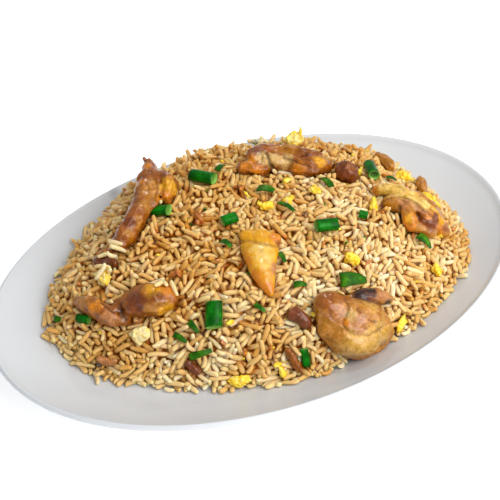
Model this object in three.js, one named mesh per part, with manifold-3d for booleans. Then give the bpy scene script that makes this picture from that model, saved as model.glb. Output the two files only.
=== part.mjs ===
// A plate of chicken fried rice: an oval porcelain plate, a heap of long-grain rice,
// pieces of chicken, scrambled egg and cut scallions on it.
// Millimetres, +Z up. The origin is the middle of the plate's underside, X runs along the plate.

import * as THREE from 'three';
import { mergeVertices } from 'three/addons/utils/BufferGeometryUtils.js';
import { ConvexHull } from 'three/addons/math/ConvexHull.js';
import Module from 'manifold-3d';

const wasm = await Module();
wasm.setup();

// Plate
const PLATE_LENGTH = 290;
const PLATE_WIDTH = 201;
const RIM_HEIGHT = 26;
const WELL_FLOOR = 6;         // height of the floor inside the plate
const RIM_SLOPE = 46;         // how far in from the edge the slope reaches
const SLOPE_POWER = 1.6;      // 1 is a straight slope, more is a softer foot
const WALL = 3.4;             // thickness of the sloping rim
const LIP_RADIUS = 1.6;
const FOOT_INSET = 50;        // outer edge of the foot ring, in from the rim
const FOOT_RING = 4;          // width of the foot ring
const FOOT_RECESS = 1.5;      // how far the underside is raised inside the foot ring
const FOOT_FLARE = 1;         // run of the foot ring's sloping sides
const SLOPE_INSETS = [RIM_SLOPE, 32, 20, 9];
const UNDER_INSETS = [12, 30];
const LIP_TURNS = [10, -70];  // degrees round the lip, 0 is straight out
const PLATE_SEGMENTS = 52;

// Heap of rice: an ellipse with low lobes, steep at its edge and broad on top
const HEAP_CENTRE = [9.4, 9.5];
const HEAP_HALF = [113.6, 83.4];
const HEAP_RISE = 46;
const HEAP_SHOULDER = 2.5;    // power of the radius: more is a flatter top
const HEAP_EDGE = 0.66;       // power of the fall: less is a steeper edge
const HEAP_LOBES = [          // order, cosine and sine share of each lobe of the outline
  [2, -0.007, -0.036],
  [3, -0.019, 0.009],
  [4, 0.011, -0.002],
  [5, -0.011, 0.010],
];

// Rice grains, as bumps of the heap's surface
const GRAIN_LENGTH = 9.5;
const GRAIN_WIDTH = 2.7;
const GRAIN_SPACING = 9.8;
const GRAIN_RAISE = 1.1;      // height of a grain's ridge above the bare heap
const RIDGE_SHARE = 0.76;     // share of the grain's length that stands up
const GAP_DROP = 0.9;         // depth of the hollows between the grains
const GRAIN_REACH = 0.985;    // share of the way out that the grains go
const GRAIN_TRIES = 6000;
const GAP_TRIES = 9000;

// The heap's edge: an uneven ring, and a skirt outside it that runs down into the plate
const EDGE_POINTS = 76;
const EDGE_SHARE = 0.99;
const EDGE_UNEVEN = 0.03;
const EDGE_DROP = 0.4;
const SKIRT_SHARE = 1.08;
const SKIRT_DROP = 5;
const SKIRT_FURTHER = 9;      // how much further out the skirt lies in the flat layout
const RICE_BOTTOM = -8;       // under the plate: the rice is cut to fit the plate afterwards

// Clearance between pieces that touch
const GAP = 0.3;

const FINISHES = {
  porcelain: { color: 0xe9eaec, roughness: 0.15 },
  rice: { color: 0xdcb878, roughness: 0.5 },
  chicken: { color: 0xb9702c, roughness: 0.4 },
  skin: { color: 0xe0a94a, roughness: 0.4 },
  egg: { color: 0xf2cf63, roughness: 0.5 },
  scallion: { color: 0x1d8a1f, roughness: 0.35 },
};

function seededRandom(seed) {
  let state = seed >>> 0;
  return () => {
    state = (state + 0x6d2b79f5) >>> 0;
    let mixed = Math.imul(state ^ (state >>> 15), 1 | state);
    mixed = (mixed + Math.imul(mixed ^ (mixed >>> 7), 61 | mixed)) ^ mixed;
    return ((mixed ^ (mixed >>> 14)) >>> 0) / 2 ** 32;
  };
}

// Surfaces that everything is placed on

const HALF_LENGTH = PLATE_LENGTH / 2;
const HALF_WIDTH = PLATE_WIDTH / 2;

// how far in from the rim a point is, measured along equal insets of the oval
function insetOf(x, y) {
  let low = -60;
  let high = HALF_WIDTH - 0.5;
  for (let step = 0; step < 40; step += 1) {
    const middle = (low + high) / 2;
    const reach = (x / (HALF_LENGTH - middle)) ** 2 + (y / (HALF_WIDTH - middle)) ** 2;
    if (reach < 1) low = middle;
    else high = middle;
  }
  return low;
}

function slopeHeight(inset) {
  const share = THREE.MathUtils.clamp(1 - inset / RIM_SLOPE, 0, 1);
  return WELL_FLOOR + (RIM_HEIGHT - WELL_FLOOR) * share ** SLOPE_POWER;
}

function plateHeight(x, y) {
  return slopeHeight(insetOf(x, y));
}

function outlineScale(angle) {
  let scale = 1;
  for (const [order, cosine, sine] of HEAP_LOBES) {
    scale += cosine * Math.cos(order * angle) + sine * Math.sin(order * angle);
  }
  return scale;
}

// a point of the heap's plan from its angle and its share of the way out to the edge
function heapPlan(angle, share) {
  const scale = share * outlineScale(angle);
  return [
    HEAP_CENTRE[0] + HEAP_HALF[0] * scale * Math.cos(angle),
    HEAP_CENTRE[1] + HEAP_HALF[1] * scale * Math.sin(angle),
  ];
}

function heapShare(x, y) {
  const u = (x - HEAP_CENTRE[0]) / HEAP_HALF[0];
  const v = (y - HEAP_CENTRE[1]) / HEAP_HALF[1];
  const angle = Math.atan2(v, u);
  return [Math.hypot(u, v) / outlineScale(angle), angle];
}

function heapHeight(x, y) {
  const [share, angle] = heapShare(x, y);
  const edge = plateHeight(...heapPlan(angle, 1));
  const inside = Math.min(share, 1);
  const fall = (1 - inside ** HEAP_SHOULDER) ** HEAP_EDGE;
  const ground = edge * inside ** 2 + WELL_FLOOR * (1 - inside ** 2);
  return ground + HEAP_RISE * fall;
}

function heapNormal(x, y) {
  const step = 2;
  const slopeX = (heapHeight(x + step, y) - heapHeight(x - step, y)) / (2 * step);
  const slopeY = (heapHeight(x, y + step) - heapHeight(x, y - step)) / (2 * step);
  return new THREE.Vector3(-slopeX, -slopeY, 1).normalize();
}

function onHeap(x, y, lift = 0) {
  return new THREE.Vector3(x, y, heapHeight(x, y) + lift);
}

// Solids for joining and cutting

function signedVolume(positions, indices) {
  const a = new THREE.Vector3();
  const b = new THREE.Vector3();
  const c = new THREE.Vector3();
  let volume = 0;
  for (let i = 0; i < indices.length; i += 3) {
    a.fromArray(positions, indices[i] * 3);
    b.fromArray(positions, indices[i + 1] * 3);
    c.fromArray(positions, indices[i + 2] * 3);
    volume += a.dot(b.cross(c)) / 6;
  }
  return volume;
}

function toSolid(geometry) {
  geometry.deleteAttribute('normal');
  geometry.deleteAttribute('uv');
  const merged = mergeVertices(geometry, 1e-4);
  const vertProperties = new Float32Array(merged.attributes.position.array);
  const triVerts = new Uint32Array(merged.index.array);
  if (signedVolume(vertProperties, triVerts) < 0) {
    for (let i = 0; i < triVerts.length; i += 3) {
      [triVerts[i], triVerts[i + 1]] = [triVerts[i + 1], triVerts[i]];
    }
  }
  const mesh = new wasm.Mesh({ numProp: 3, vertProperties, triVerts });
  mesh.merge();
  return new wasm.Manifold(mesh);
}

function largestPiece(solid) {
  const pieces = solid.decompose();
  return pieces.reduce((best, piece) => (piece.volume() > best.volume() ? piece : best));
}

function toGeometry(solid) {
  const mesh = solid.getMesh();
  const geometry = new THREE.BufferGeometry();
  geometry.setAttribute('position', new THREE.BufferAttribute(new Float32Array(mesh.vertProperties), 3));
  geometry.setIndex(new THREE.BufferAttribute(new Uint32Array(mesh.triVerts), 1));
  return geometry;
}

// Plate: a profile turned on a lathe, then drawn out so that every ring keeps its inset from the oval rim

// the upper surface from the edge of the flat floor to the top of the lip
function topProfile() {
  const slope = SLOPE_INSETS.map((inset) => [HALF_LENGTH - inset, slopeHeight(inset)]);
  return [...slope, [HALF_LENGTH - LIP_RADIUS, RIM_HEIGHT]];
}

function plateProfile() {
  const lipTop = RIM_HEIGHT - LIP_RADIUS;
  const foot = HALF_LENGTH - FOOT_INSET;
  const points = [[0, WELL_FLOOR], ...topProfile()];
  for (const degrees of LIP_TURNS) {
    const angle = THREE.MathUtils.degToRad(degrees);
    points.push([
      HALF_LENGTH - LIP_RADIUS + LIP_RADIUS * Math.cos(angle),
      lipTop + LIP_RADIUS * Math.sin(angle),
    ]);
  }
  for (const inset of UNDER_INSETS) {
    points.push([HALF_LENGTH - inset, slopeHeight(inset) - WALL]);
  }
  points.push([foot + FOOT_FLARE, FOOT_RECESS]);
  points.push([foot, 0]);
  points.push([foot - FOOT_RING, 0]);
  points.push([foot - FOOT_RING - FOOT_FLARE, FOOT_RECESS]);
  points.push([0, FOOT_RECESS]);
  return points;
}

function ovalLathe(profile) {
  const vectors = profile.map(([radius, height]) => new THREE.Vector2(radius, height));
  const geometry = new THREE.LatheGeometry(vectors, PLATE_SEGMENTS);
  geometry.rotateX(Math.PI / 2);
  const position = geometry.attributes.position;
  const turning = HALF_LENGTH - FOOT_INSET - FOOT_RING - FOOT_FLARE;
  const narrow = (radius) => {
    const inside = Math.min(radius, turning);
    const innerWidth = turning - (HALF_LENGTH - HALF_WIDTH);
    return inside * (innerWidth / turning) + Math.max(radius - turning, 0);
  };
  for (let i = 0; i < position.count; i += 1) {
    const x = position.getX(i);
    const y = position.getY(i);
    const radius = Math.hypot(x, y);
    if (radius > 0) position.setY(i, (y * narrow(radius)) / radius);
  }
  return geometry;
}

// everything under the plate's upper surface, raised by the gap, for cutting the food to fit
function underPlate() {
  const reach = HALF_LENGTH + 30;
  const depth = -30;
  const raised = topProfile().map(([radius, height]) => [radius, height + GAP]);
  const profile = [
    [0, WELL_FLOOR + GAP],
    ...raised,
    [reach, RIM_HEIGHT + GAP],
    [reach, depth],
    [0, depth],
  ];
  return toSolid(ovalLathe(profile));
}

// Shapes of the toppings

// A ball drawn out along a spine. A station is x, y, lift above the heap, half width, half height.
function morsel({ stations, sides = 12, rings = 10, lumps = 0.07, seed = 1 }, grow) {
  const spine = new THREE.CatmullRomCurve3(stations.map(([x, y, lift]) => onHeap(x, y, lift)));
  const last = stations.length - 1;
  const sizeAt = (share) => {
    const place = share * last;
    const index = Math.min(Math.floor(place), last - 1);
    const blend = THREE.MathUtils.smoothstep(place - index, 0, 1);
    const from = stations[index];
    const to = stations[index + 1];
    return [3, 4].map((k) => THREE.MathUtils.lerp(from[k], to[k], blend));
  };
  const ball = new THREE.SphereGeometry(1, sides, rings);
  const position = ball.attributes.position;
  const capShare = 1.6 / rings;
  const upright = new THREE.Vector3(0, 0, 1);
  for (let i = 0; i < position.count; i += 1) {
    const polar = Math.acos(THREE.MathUtils.clamp(position.getY(i), -1, 1)) / Math.PI;
    const around = Math.atan2(position.getZ(i), position.getX(i));
    const share = THREE.MathUtils.clamp((polar - capShare) / (1 - 2 * capShare), 0, 1);
    const [halfWidth, halfHeight] = sizeAt(share);
    const centre = spine.getPoint(share);
    const along = spine.getTangent(share);
    const up = heapNormal(centre.x, centre.y).lerp(upright, 0.5);
    const across = new THREE.Vector3().crossVectors(along, up).normalize();
    up.crossVectors(across, along).normalize();
    const fromEnd = Math.min(polar, 1 - polar) / capShare;
    const cap = Math.sqrt(Math.max(0, 1 - (1 - Math.min(fromEnd, 1)) ** 2));
    const beyond = (1 - Math.min(fromEnd, 1)) * (polar < 0.5 ? -1 : 1);
    const wave = Math.sin(2 * around + 9 * share + seed) + 0.7 * Math.sin(3 * around - 6 * share + 2 * seed);
    const swell = 1 + lumps * wave;
    const endReach = Math.min(halfWidth, halfHeight) * 0.8 + grow;
    centre.addScaledVector(along, beyond * endReach);
    centre.addScaledVector(across, Math.cos(around) * cap * (halfWidth * swell + grow));
    centre.addScaledVector(up, Math.sin(around) * cap * (halfHeight * swell + grow));
    position.setXYZ(i, centre.x, centre.y, centre.z);
  }
  return toSolid(ball);
}

function joined(solids) {
  return solids.reduce((whole, piece) => whole.add(piece));
}

const CURD_LUMPS = 0.13;

// A curd of egg: a lumpy ball, its size given as half length, half width, half height
function curd({ at, half, turn, seed, detail = 1 }, grow) {
  const ball = new THREE.IcosahedronGeometry(1, detail);
  const position = ball.attributes.position;
  const centre = onHeap(...at);
  const up = heapNormal(at[0], at[1]);
  const turned = new THREE.Vector3(Math.cos(turn), Math.sin(turn), 0);
  const across = new THREE.Vector3().crossVectors(up, turned).normalize();
  const along = new THREE.Vector3().crossVectors(across, up);
  const corner = new THREE.Vector3();
  for (let i = 0; i < position.count; i += 1) {
    corner.fromBufferAttribute(position, i);
    const level = Math.sin(3.1 * corner.x + seed) * Math.sin(2.7 * corner.y + 2 * seed);
    const swell = 1 + CURD_LUMPS * (level + Math.sin(4 * corner.z + seed));
    const place = centre.clone();
    place.addScaledVector(along, corner.x * (half[0] * swell + grow));
    place.addScaledVector(across, corner.y * (half[1] * swell + grow));
    place.addScaledVector(up, corner.z * (half[2] * swell + grow));
    position.setXYZ(i, place.x, place.y, place.z);
  }
  return toSolid(ball);
}

function ringPoints(halfWidth, halfHeight, sides) {
  const points = [];
  for (let i = 0; i < sides; i += 1) {
    const angle = (2 * Math.PI * (i + 0.5)) / sides;
    points.push(new THREE.Vector2(halfWidth * Math.cos(angle), halfHeight * Math.sin(angle)));
  }
  return points;
}

// turns a shape drawn along +Z from the origin so that it runs from one place to another
function layBetween(geometry, from, to, up) {
  const along = to.clone().sub(from).normalize();
  const across = new THREE.Vector3().crossVectors(up, along).normalize();
  const square = new THREE.Vector3().crossVectors(along, across);
  const frame = new THREE.Matrix4().makeBasis(across, square, along);
  frame.setPosition(from);
  return geometry.applyMatrix4(frame);
}

// A cut piece of scallion stalk: a hollow tube, slightly flattened, between two places on the heap
function stalk({ from, to, width, height, wall = 0.8, sides = 8 }, grow) {
  const start = onHeap(...from);
  const end = onHeap(...to);
  const along = end.clone().sub(start).normalize();
  start.addScaledVector(along, -grow);
  end.addScaledVector(along, grow);
  const shape = new THREE.Shape(ringPoints(width / 2 + grow, height / 2 + grow, sides));
  if (wall) {
    shape.holes.push(new THREE.Path(ringPoints(width / 2 - wall, height / 2 - wall, sides)));
  }
  const depth = start.distanceTo(end);
  const geometry = new THREE.ExtrudeGeometry(shape, { depth, bevelEnabled: false, steps: 1 });
  return toSolid(layBetween(geometry, start, end, heapNormal(from[0], from[1])));
}

// A flat cut of scallion leaf: a thin wavy blade with a tapered outline
function blade({ from, to, width, thickness = 0.9, curl = 1.2, taper = 0.5 }, grow) {
  const start = onHeap(...from);
  const end = onHeap(...to);
  const along = end.clone().sub(start).normalize();
  start.addScaledVector(along, -grow);
  end.addScaledVector(along, grow);
  const length = start.distanceTo(end);
  const steps = 4;
  const sideAt = (i) => (width / 2) * (1 - taper * (i / steps) ** 2) + grow;
  const outline = [];
  for (let i = 0; i <= steps; i += 1) outline.push(new THREE.Vector2(-sideAt(i), (length * i) / steps));
  for (let i = steps; i >= 0; i -= 1) outline.push(new THREE.Vector2(sideAt(i), (length * i) / steps));
  const depth = thickness + 2 * grow;
  const geometry = new THREE.ExtrudeGeometry(new THREE.Shape(outline), { depth, bevelEnabled: false });
  geometry.translate(0, 0, -depth / 2);
  geometry.rotateX(Math.PI / 2);
  geometry.scale(1, 1, -1);
  const position = geometry.attributes.position;
  for (let i = 0; i < position.count; i += 1) {
    const x = position.getX(i);
    const share = Math.abs(position.getZ(i)) / length;
    const bend = curl * Math.sin(Math.PI * share) - (curl * x * x) / (width * width);
    position.setY(i, position.getY(i) + bend);
    position.setZ(i, Math.abs(position.getZ(i)));
  }
  return toSolid(layBetween(geometry, start, end, heapNormal(from[0], from[1])));
}

// The toppings. Lengths are in millimetres, a lift is the height above the heap's bare surface.

const CHICKEN = {
  chicken_drumette: [
    {
      stations: [[-5, -60, 2, 9, 7], [2, -67, 3, 15, 9], [9, -70, 3, 14.5, 9], [16, -73, 2, 9, 7]],
      sides: 11, rings: 8, seed: 2,
    },
    {
      stations: [
        [-7, -57, 4, 2.6, 3], [-12, -62, 3.5, 3.2, 3.6], [-10, -68, 3, 3.6, 3.8], [-3, -73, 2, 3.8, 4],
        [7, -76, 2, 3.6, 3.8], [17, -76, 2, 3, 3.2], [23, -74, 2, 2.2, 2.6],
      ],
      sides: 6, rings: 9, lumps: 0.05, seed: 6,
    },
    { stations: [[-6, -61, 8, 3.6, 3.6], [0, -64, 8.5, 4.2, 3.8]], sides: 7, rings: 5, seed: 3 },
    {
      stations: [
        [10, -62, 4, 3.2, 4.4], [17, -63, 4, 3.8, 4.6],
        [24, -65, 3, 3.4, 4], [27, -67, 2, 2.4, 3],
      ],
      rings: 6, sides: 6,
    },
  ],
  chicken_wing: [
    {
      stations: [
        [-22, 66, 8, 4, 8], [-29, 56, 7, 7.4, 8], [-36, 48, 6, 5.8, 7.5], [-44, 42, 5, 5.2, 7],
        [-52, 37, 4, 5.8, 6], [-59, 33, 3, 5.4, 5.5], [-65, 32, 2, 4, 4],
      ],
      sides: 10, rings: 12, seed: 4,
    },
    {
      stations: [[-24, 56, 6, 4, 6], [-22, 49, 6, 5, 6.5], [-26, 43, 5, 4, 5.5], [-30, 40, 3, 2.4, 4]],
      rings: 7, sides: 7, seed: 3,
    },
    {
      stations: [[-24, 69, 17, 0.8, 0.8], [-23, 68, 13, 1.6, 1.6], [-22, 65, 8, 3, 3]],
      rings: 5, sides: 6, lumps: 0,
    },
  ],
  chicken_thigh: [
    {
      stations: [
        [-82, 3, 0, 4.4, 4.2], [-78, 0, 1, 6.6, 5.8], [-73, -4, 2, 8.2, 7],
        [-68, -9, 3, 8.8, 7.5], [-63, -12, 2, 5.8, 5.6],
      ],
      sides: 11, rings: 9, seed: 5,
    },
    {
      stations: [
        [-94, 22, 1, 2.6, 3], [-92, 15, 2, 4.4, 4.6], [-90, 8, 2, 5.8, 5.6],
        [-87, 1, 2, 4.6, 4.8], [-82, -4, 0, 2.8, 3.2],
      ],
      sides: 9, rings: 9, seed: 7,
    },
  ],
  chicken_skin: [
    {
      stations: [
        [-12, -15, 1, 9.8, 4], [-17, -22, 2, 8.8, 4.5], [-21, -29, 2, 6.6, 4],
        [-23, -35, 1, 4, 3], [-24, -40, 0, 1.6, 2],
      ],
      sides: 10, rings: 9, lumps: 0.03, seed: 1,
    },
    {
      stations: [[-17, -7, 3, 2.8, 3], [-10, -13, 3, 3.2, 3.4], [-4, -19, 2, 2.6, 3]],
      rings: 7, sides: 8, lumps: 0.03,
    },
  ],
  chicken_top: [
    {
      stations: [[25, 41, 3, 4.6, 6], [32, 42, 4, 5.4, 6.5], [37, 40, 3, 4.6, 6]],
      sides: 7, rings: 6, seed: 8,
    },
    {
      stations: [[17, 41, 1, 3, 3.4], [22, 37, 1, 4, 4], [28, 33, 1, 3.8, 4]],
      sides: 6, rings: 6, lumps: 0.12, seed: 2,
    },
    {
      stations: [[31, 36, 2, 5.4, 5.5], [37, 31, 2, 5.6, 5.5], [42, 27, 2, 5.6, 5.5]],
      sides: 7, rings: 6, seed: 4,
    },
    {
      stations: [[40, 24, 2, 5, 5], [45, 20, 3, 6.4, 6], [52, 18, 2, 5.6, 5.5], [56, 16, 1, 3.4, 4]],
      sides: 8, rings: 7, seed: 5,
    },
    {
      stations: [[36, 42, 4, 2.6, 4], [42, 36, 5, 3, 4.6], [48, 29, 5, 3, 4.6], [54, 21, 4, 2.6, 4]],
      sides: 6, rings: 7, seed: 1,
    },
  ],
  chicken_arch: [
    {
      stations: [
        [63, -13, 2, 2.4, 3], [67, -17, 5, 3.2, 4], [71, -23, 7, 3.2, 4], [77, -29, 7, 3.2, 4.4],
        [83, -35, 5, 3, 4.4], [87, -38, 2, 2.4, 3],
      ],
      sides: 7, rings: 9, lumps: 0.03, seed: 3,
    },
    {
      stations: [
        [62, -22, 1, 2.8, 3.2], [66, -26, 3.5, 4, 5], [72, -30, 4.5, 5.6, 7], [76, -36, 4.5, 6.4, 7],
        [80, -41, 2, 6, 5.6], [84, -45, 0.5, 3.4, 3.6],
      ],
      sides: 9, rings: 8, seed: 9,
    },
    {
      stations: [[67, -32, 3, 3.6, 4.6], [65, -38, 2, 4.4, 4.8], [64, -41, 1, 2.8, 3.2]],
      rings: 6, sides: 8, seed: 2,
    },
  ],
  chicken_cube: [
    {
      stations: [[59, 13, 0, 5, 4.8], [61, 8, 2, 6.8, 6], [63, 5, 1, 4.8, 4.8]],
      sides: 8, rings: 6, lumps: 0.1, seed: 6,
    },
  ],
  chicken_right_rear: [
    {
      stations: [[97, 23, 0, 3.2, 3.2], [97, 16, 1, 4.4, 4.2], [95, 10, 0, 2.8, 3]],
      sides: 6, rings: 5, seed: 3,
    },
  ],
  chicken_right_end: [
    {
      stations: [[104, -4, 2, 2.6, 3.8], [101, -9, 2, 3.4, 4.4], [98, -13, 0, 2.4, 3]],
      sides: 6, rings: 5, seed: 5,
    },
  ],
  chicken_front_small: [
    {
      stations: [[-20, -51, 0, 3.4, 3.4], [-18, -55, 1, 4.2, 4], [-17, -58, 0, 2.8, 3]],
      sides: 6, rings: 5, seed: 1,
    },
  ],
  chicken_left_small: [
    {
      stations: [[-75, 35, 0, 2.4, 2.6], [-72, 29, 0.5, 2.9, 3], [-71, 23, 0, 2, 2.4]],
      sides: 6, rings: 5, seed: 4,
    },
  ],
  chicken_front_bit: [
    {
      stations: [[-30, -60, 0, 2.2, 2.6], [-29, -63, 0, 2.8, 3], [-27, -67, 0, 2.2, 2.6]],
      sides: 6, rings: 5, seed: 2,
    },
  ],
  chicken_left_bit: [
    {
      stations: [[-99, -4, 0, 1.9, 2.4], [-97, -8, 0, 2.4, 2.6], [-94, -11, 0, 1.8, 2.4]],
      sides: 6, rings: 5, seed: 6,
    },
  ],
  chicken_low_bit: [
    { stations: [[-69, -35, 0, 2, 2.4], [-67, -40, 0, 2.4, 2.6]], sides: 6, rings: 5, seed: 7 },
  ],
  chicken_back_long: [
    {
      stations: [[26, 92, 1, 3, 3.2], [36, 90.5, 1.4, 4.2, 3.8], [46, 87.5, 1, 3, 3.2]],
      sides: 7, rings: 6, seed: 3,
    },
  ],
  chicken_back_round: [
    {
      stations: [[84, 71, 1, 3, 3], [91, 65.5, 1.2, 4.4, 3.8], [97, 59, 1, 3, 3]],
      sides: 7, rings: 6, seed: 8,
    },
  ],
};

const EGG = {
  egg_crest: [
    { at: [55, 45, 5], half: [4.8, 4, 6], turn: 0.6, seed: 1 },
    { at: [58, 42.5, 8.5], half: [1.8, 1.5, 6.4], turn: -0.6, seed: 3, detail: 0 },
  ],
  egg_front: [{ at: [-53, -54, 1], half: [5, 3, 2.6], turn: -0.4, seed: 2 }],
  egg_left: [{ at: [-81, -13, 1], half: [4.6, 4.4, 3.4], turn: 0.4, seed: 3 }],
  egg_left_rear: [{ at: [-79, 22, 1], half: [5.2, 4, 3.4], turn: 1.2, seed: 4 }],
  egg_middle: [{ at: [21, -45, 0.5], half: [4.6, 3, 2.8], turn: -1.1, seed: 5 }],
  egg_right: [{ at: [64, -61, 0.5], half: [3.4, 2.4, 2.4], turn: -1.2, seed: 6 }],
  egg_upper: [{ at: [8, 6, 0.5], half: [3.6, 2.6, 2.2], turn: -0.3, seed: 7 }],
  egg_behind_arch: [{ at: [97, -21, 0.5], half: [5.4, 2.4, 2.4], turn: -1.3, seed: 8 }],
  egg_top: [{ at: [36, 3, 0.5], half: [3.6, 2.6, 2.2], turn: -0.9, seed: 9 }],
  egg_beside_arch: [{ at: [55, -21, 0.5], half: [3.8, 2.2, 2.4], turn: -2.2, seed: 10 }],
  egg_right_rear: [{ at: [94, -1, 1], half: [4.4, 2.4, 2.8], turn: -1.0, seed: 11 }],
  egg_back: [{ at: [3, 94, 0], half: [4.8, 3.4, 2.8], turn: 0.2, seed: 12 }],
  egg_back_right: [{ at: [113, 36, 0.5], half: [4.4, 3.2, 2.6], turn: 0.9, seed: 13 }],
};

const STALKS = {
  scallion_rear_long: { from: [-7, 51, 2.4], to: [-1, 39, 2.4], width: 7.2, height: 6 },
  scallion_beside_wing: { from: [-38, 40, 2], to: [-33, 33, 2.6], width: 6.4, height: 5 },
  scallion_upper: { from: [-18, 8, 1.6], to: [-11, 6, 2.6], width: 5.8, height: 5 },
  scallion_centre: { from: [17, -22, 2.4], to: [27, -26, 2.4], width: 6.8, height: 6 },
  scallion_right_rear: { from: [79, 10, 2.2], to: [73, -1, 2.6], width: 6.2, height: 5.4 },
  scallion_front_big: { from: [-48, -27, 2.4], to: [-54, -35, 2.8], width: 8.2, height: 6.6 },
  scallion_right_ring: { from: [43, -24, 1], to: [46, -27, 1.2], width: 4.4, height: 4 },
  scallion_low_ring: { from: [-23, -64, 1], to: [-24, -68, 1], width: 4, height: 3.6 },
  scallion_left_ring: { from: [-98, 16, 1], to: [-95, 10, 1], width: 4.4, height: 3.6 },
  scallion_back_a: { from: [56, 80, 0.8], to: [64, 76, 0.8], width: 5.6, height: 4.6 },
  scallion_back_b: { from: [11, 94, 1], to: [19, 93.5, 1], width: 5.2, height: 4.4 },
  scallion_back_c: { from: [109.5, 44, 0.6], to: [105.5, 50, 0.6], width: 5, height: 4.2 },
};

const BLADES = {
  scallion_square: { from: [12, 19, 2], to: [17, 12, 2], width: 5.4, taper: 0.3 },
  scallion_strip: { from: [45, 8, 2], to: [44, -1, 2], width: 3.6, taper: 0.1 },
  scallion_rear_leaf: { from: [5, 45, 2], to: [11, 47, 2], width: 3.4 },
  scallion_wedge: { from: [64, -46, 2], to: [66, -53, 2], width: 5.6, taper: 0.8 },
  scallion_leaf: { from: [8, -52, 2.6], to: [20, -57, 2.6], width: 7.4, curl: 2, taper: 0.6 },
  scallion_front_long: { from: [-68, -35, 2], to: [-59, -40, 2], width: 3.2, taper: 0.4 },
  scallion_light_strip: { from: [13, 3, 2], to: [15, -7, 2], width: 2.4, taper: 0.2 },
  scallion_front_leaf: { from: [-13, -43, 2], to: [-8, -46, 2], width: 3, taper: 0.5 },
  scallion_chip: { from: [-26, -3, 2], to: [-25, -9, 2], width: 3, taper: 0.3 },
  scallion_edge_leaf: { from: [-104, 29, 2], to: [-103, 24, 2], width: 3, taper: 0.3 },
  scallion_back_leaf: { from: [70, 76, 1.4], to: [76, 73, 1.4], width: 4, taper: 0.5 },
};

// chips of scallion too small to be pieces of their own: they are part of the rice
const CHIPS = [
  { from: [81, -2, 1], to: [85, -5, 1], width: 2.8 },
  { from: [-61, -25, 1], to: [-60, -31, 1], width: 2.8 },
  { from: [-69, -24, 1], to: [-66, -30, 1], width: 2.8 },
  { from: [-33, -39, 1], to: [-31, -44, 1], width: 2.4 },
  { from: [-8, -25, 1], to: [-9, -31, 1], width: 2.4 },
];

// The rice

// distance over the heap's surface from its middle to a share of the way out
function surfaceReach(angle, share) {
  const steps = 20;
  let reach = 0;
  let before = onHeap(...heapPlan(angle, 0));
  for (let i = 1; i <= steps; i += 1) {
    const next = onHeap(...heapPlan(angle, (share * i) / steps));
    reach += next.distanceTo(before);
    before = next;
  }
  return reach;
}

// a point of the relief: its place, and where it lies when the heap's surface is laid out flat
function reliefPoint(x, y, raise) {
  const [share, angle] = heapShare(x, y);
  const reach = surfaceReach(angle, share);
  return {
    share,
    base: onHeap(x, y),
    place: onHeap(x, y).addScaledVector(heapNormal(x, y), raise),
    flat: [reach * Math.cos(angle), reach * Math.sin(angle)],
  };
}

// places on the heap's surface, kept apart by their distance in space; its steep side gets more of the tries
function scatterOver(random, spacing, tries, taken) {
  const found = [];
  const crowding = 0.4;
  for (let attempt = 0; attempt < tries; attempt += 1) {
    const share = GRAIN_REACH * random() ** crowding;
    const place = onHeap(...heapPlan(random() * 2 * Math.PI, share));
    const free = [...found, ...taken].every((other) => other.distanceTo(place) > spacing);
    if (free) found.push(place);
  }
  return found;
}

// each grain is a short raised ridge, with lower points between the grains
function grainPoints() {
  const random = seededRandom(11);
  const points = [];
  const half = ((GRAIN_LENGTH - GRAIN_WIDTH) * RIDGE_SHARE) / 2;
  for (const centre of scatterOver(random, GRAIN_SPACING, GRAIN_TRIES, [])) {
    const normal = heapNormal(centre.x, centre.y);
    const turn = random() * Math.PI;
    const level = new THREE.Vector3(Math.cos(turn), Math.sin(turn), 0);
    const across = new THREE.Vector3().crossVectors(normal, level).normalize();
    const along = new THREE.Vector3().crossVectors(across, normal);
    const raise = GRAIN_RAISE * (0.7 + 0.6 * random());
    for (const end of [-half, half]) {
      const tip = centre.clone().addScaledVector(along, end);
      points.push(reliefPoint(tip.x, tip.y, raise));
    }
  }
  const inside = points.filter((point) => point.share < GRAIN_REACH);
  const ridges = inside.map((point) => point.base);
  for (const gap of scatterOver(random, GRAIN_SPACING / 2, GAP_TRIES, ridges)) {
    inside.push(reliefPoint(gap.x, gap.y, -GAP_DROP * (0.6 + 0.8 * random())));
  }
  return inside;
}

function skirtPoints() {
  const random = seededRandom(5);
  const points = [];
  const addRing = (angle, share, drop, further) => {
    const [x, y] = heapPlan(angle, share);
    const place = new THREE.Vector3(x, y, plateHeight(x, y) - drop);
    const out = surfaceReach(angle, 1) + further;
    points.push({ place, flat: [out * Math.cos(angle), out * Math.sin(angle)] });
  };
  for (let i = 0; i < EDGE_POINTS; i += 1) {
    const angle = (2 * Math.PI * i) / EDGE_POINTS;
    addRing(angle, EDGE_SHARE + EDGE_UNEVEN * random(), EDGE_DROP, 0);
    addRing(angle, SKIRT_SHARE, SKIRT_DROP, SKIRT_FURTHER);
  }
  return points;
}

// triangles between scattered flat points: the lower side of their hull once lifted onto a bowl
function triangulate(flats) {
  const size = HEAP_HALF[0];
  const bowl = (u, v) => new THREE.Vector3(u, v, u * u + v * v);
  const lifted = flats.map(([x, y]) => bowl(x / size, y / size));
  const numberOf = new Map(lifted.map((vector, index) => [vector, index]));
  const hull = new ConvexHull().setFromPoints(lifted);
  const triangles = [];
  for (const { edge, normal } of hull.faces) {
    if (normal.z < -1e-6) {
      const ends = [edge.tail(), edge.head(), edge.next.head()].map((end) => numberOf.get(end.point));
      const [p, q, r] = ends.map((end) => flats[end]);
      const area = (q[0] - p[0]) * (r[1] - p[1]) - (r[0] - p[0]) * (q[1] - p[1]);
      triangles.push(area > 0 ? ends : [ends[0], ends[2], ends[1]]);
    }
  }
  return triangles;
}

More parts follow.
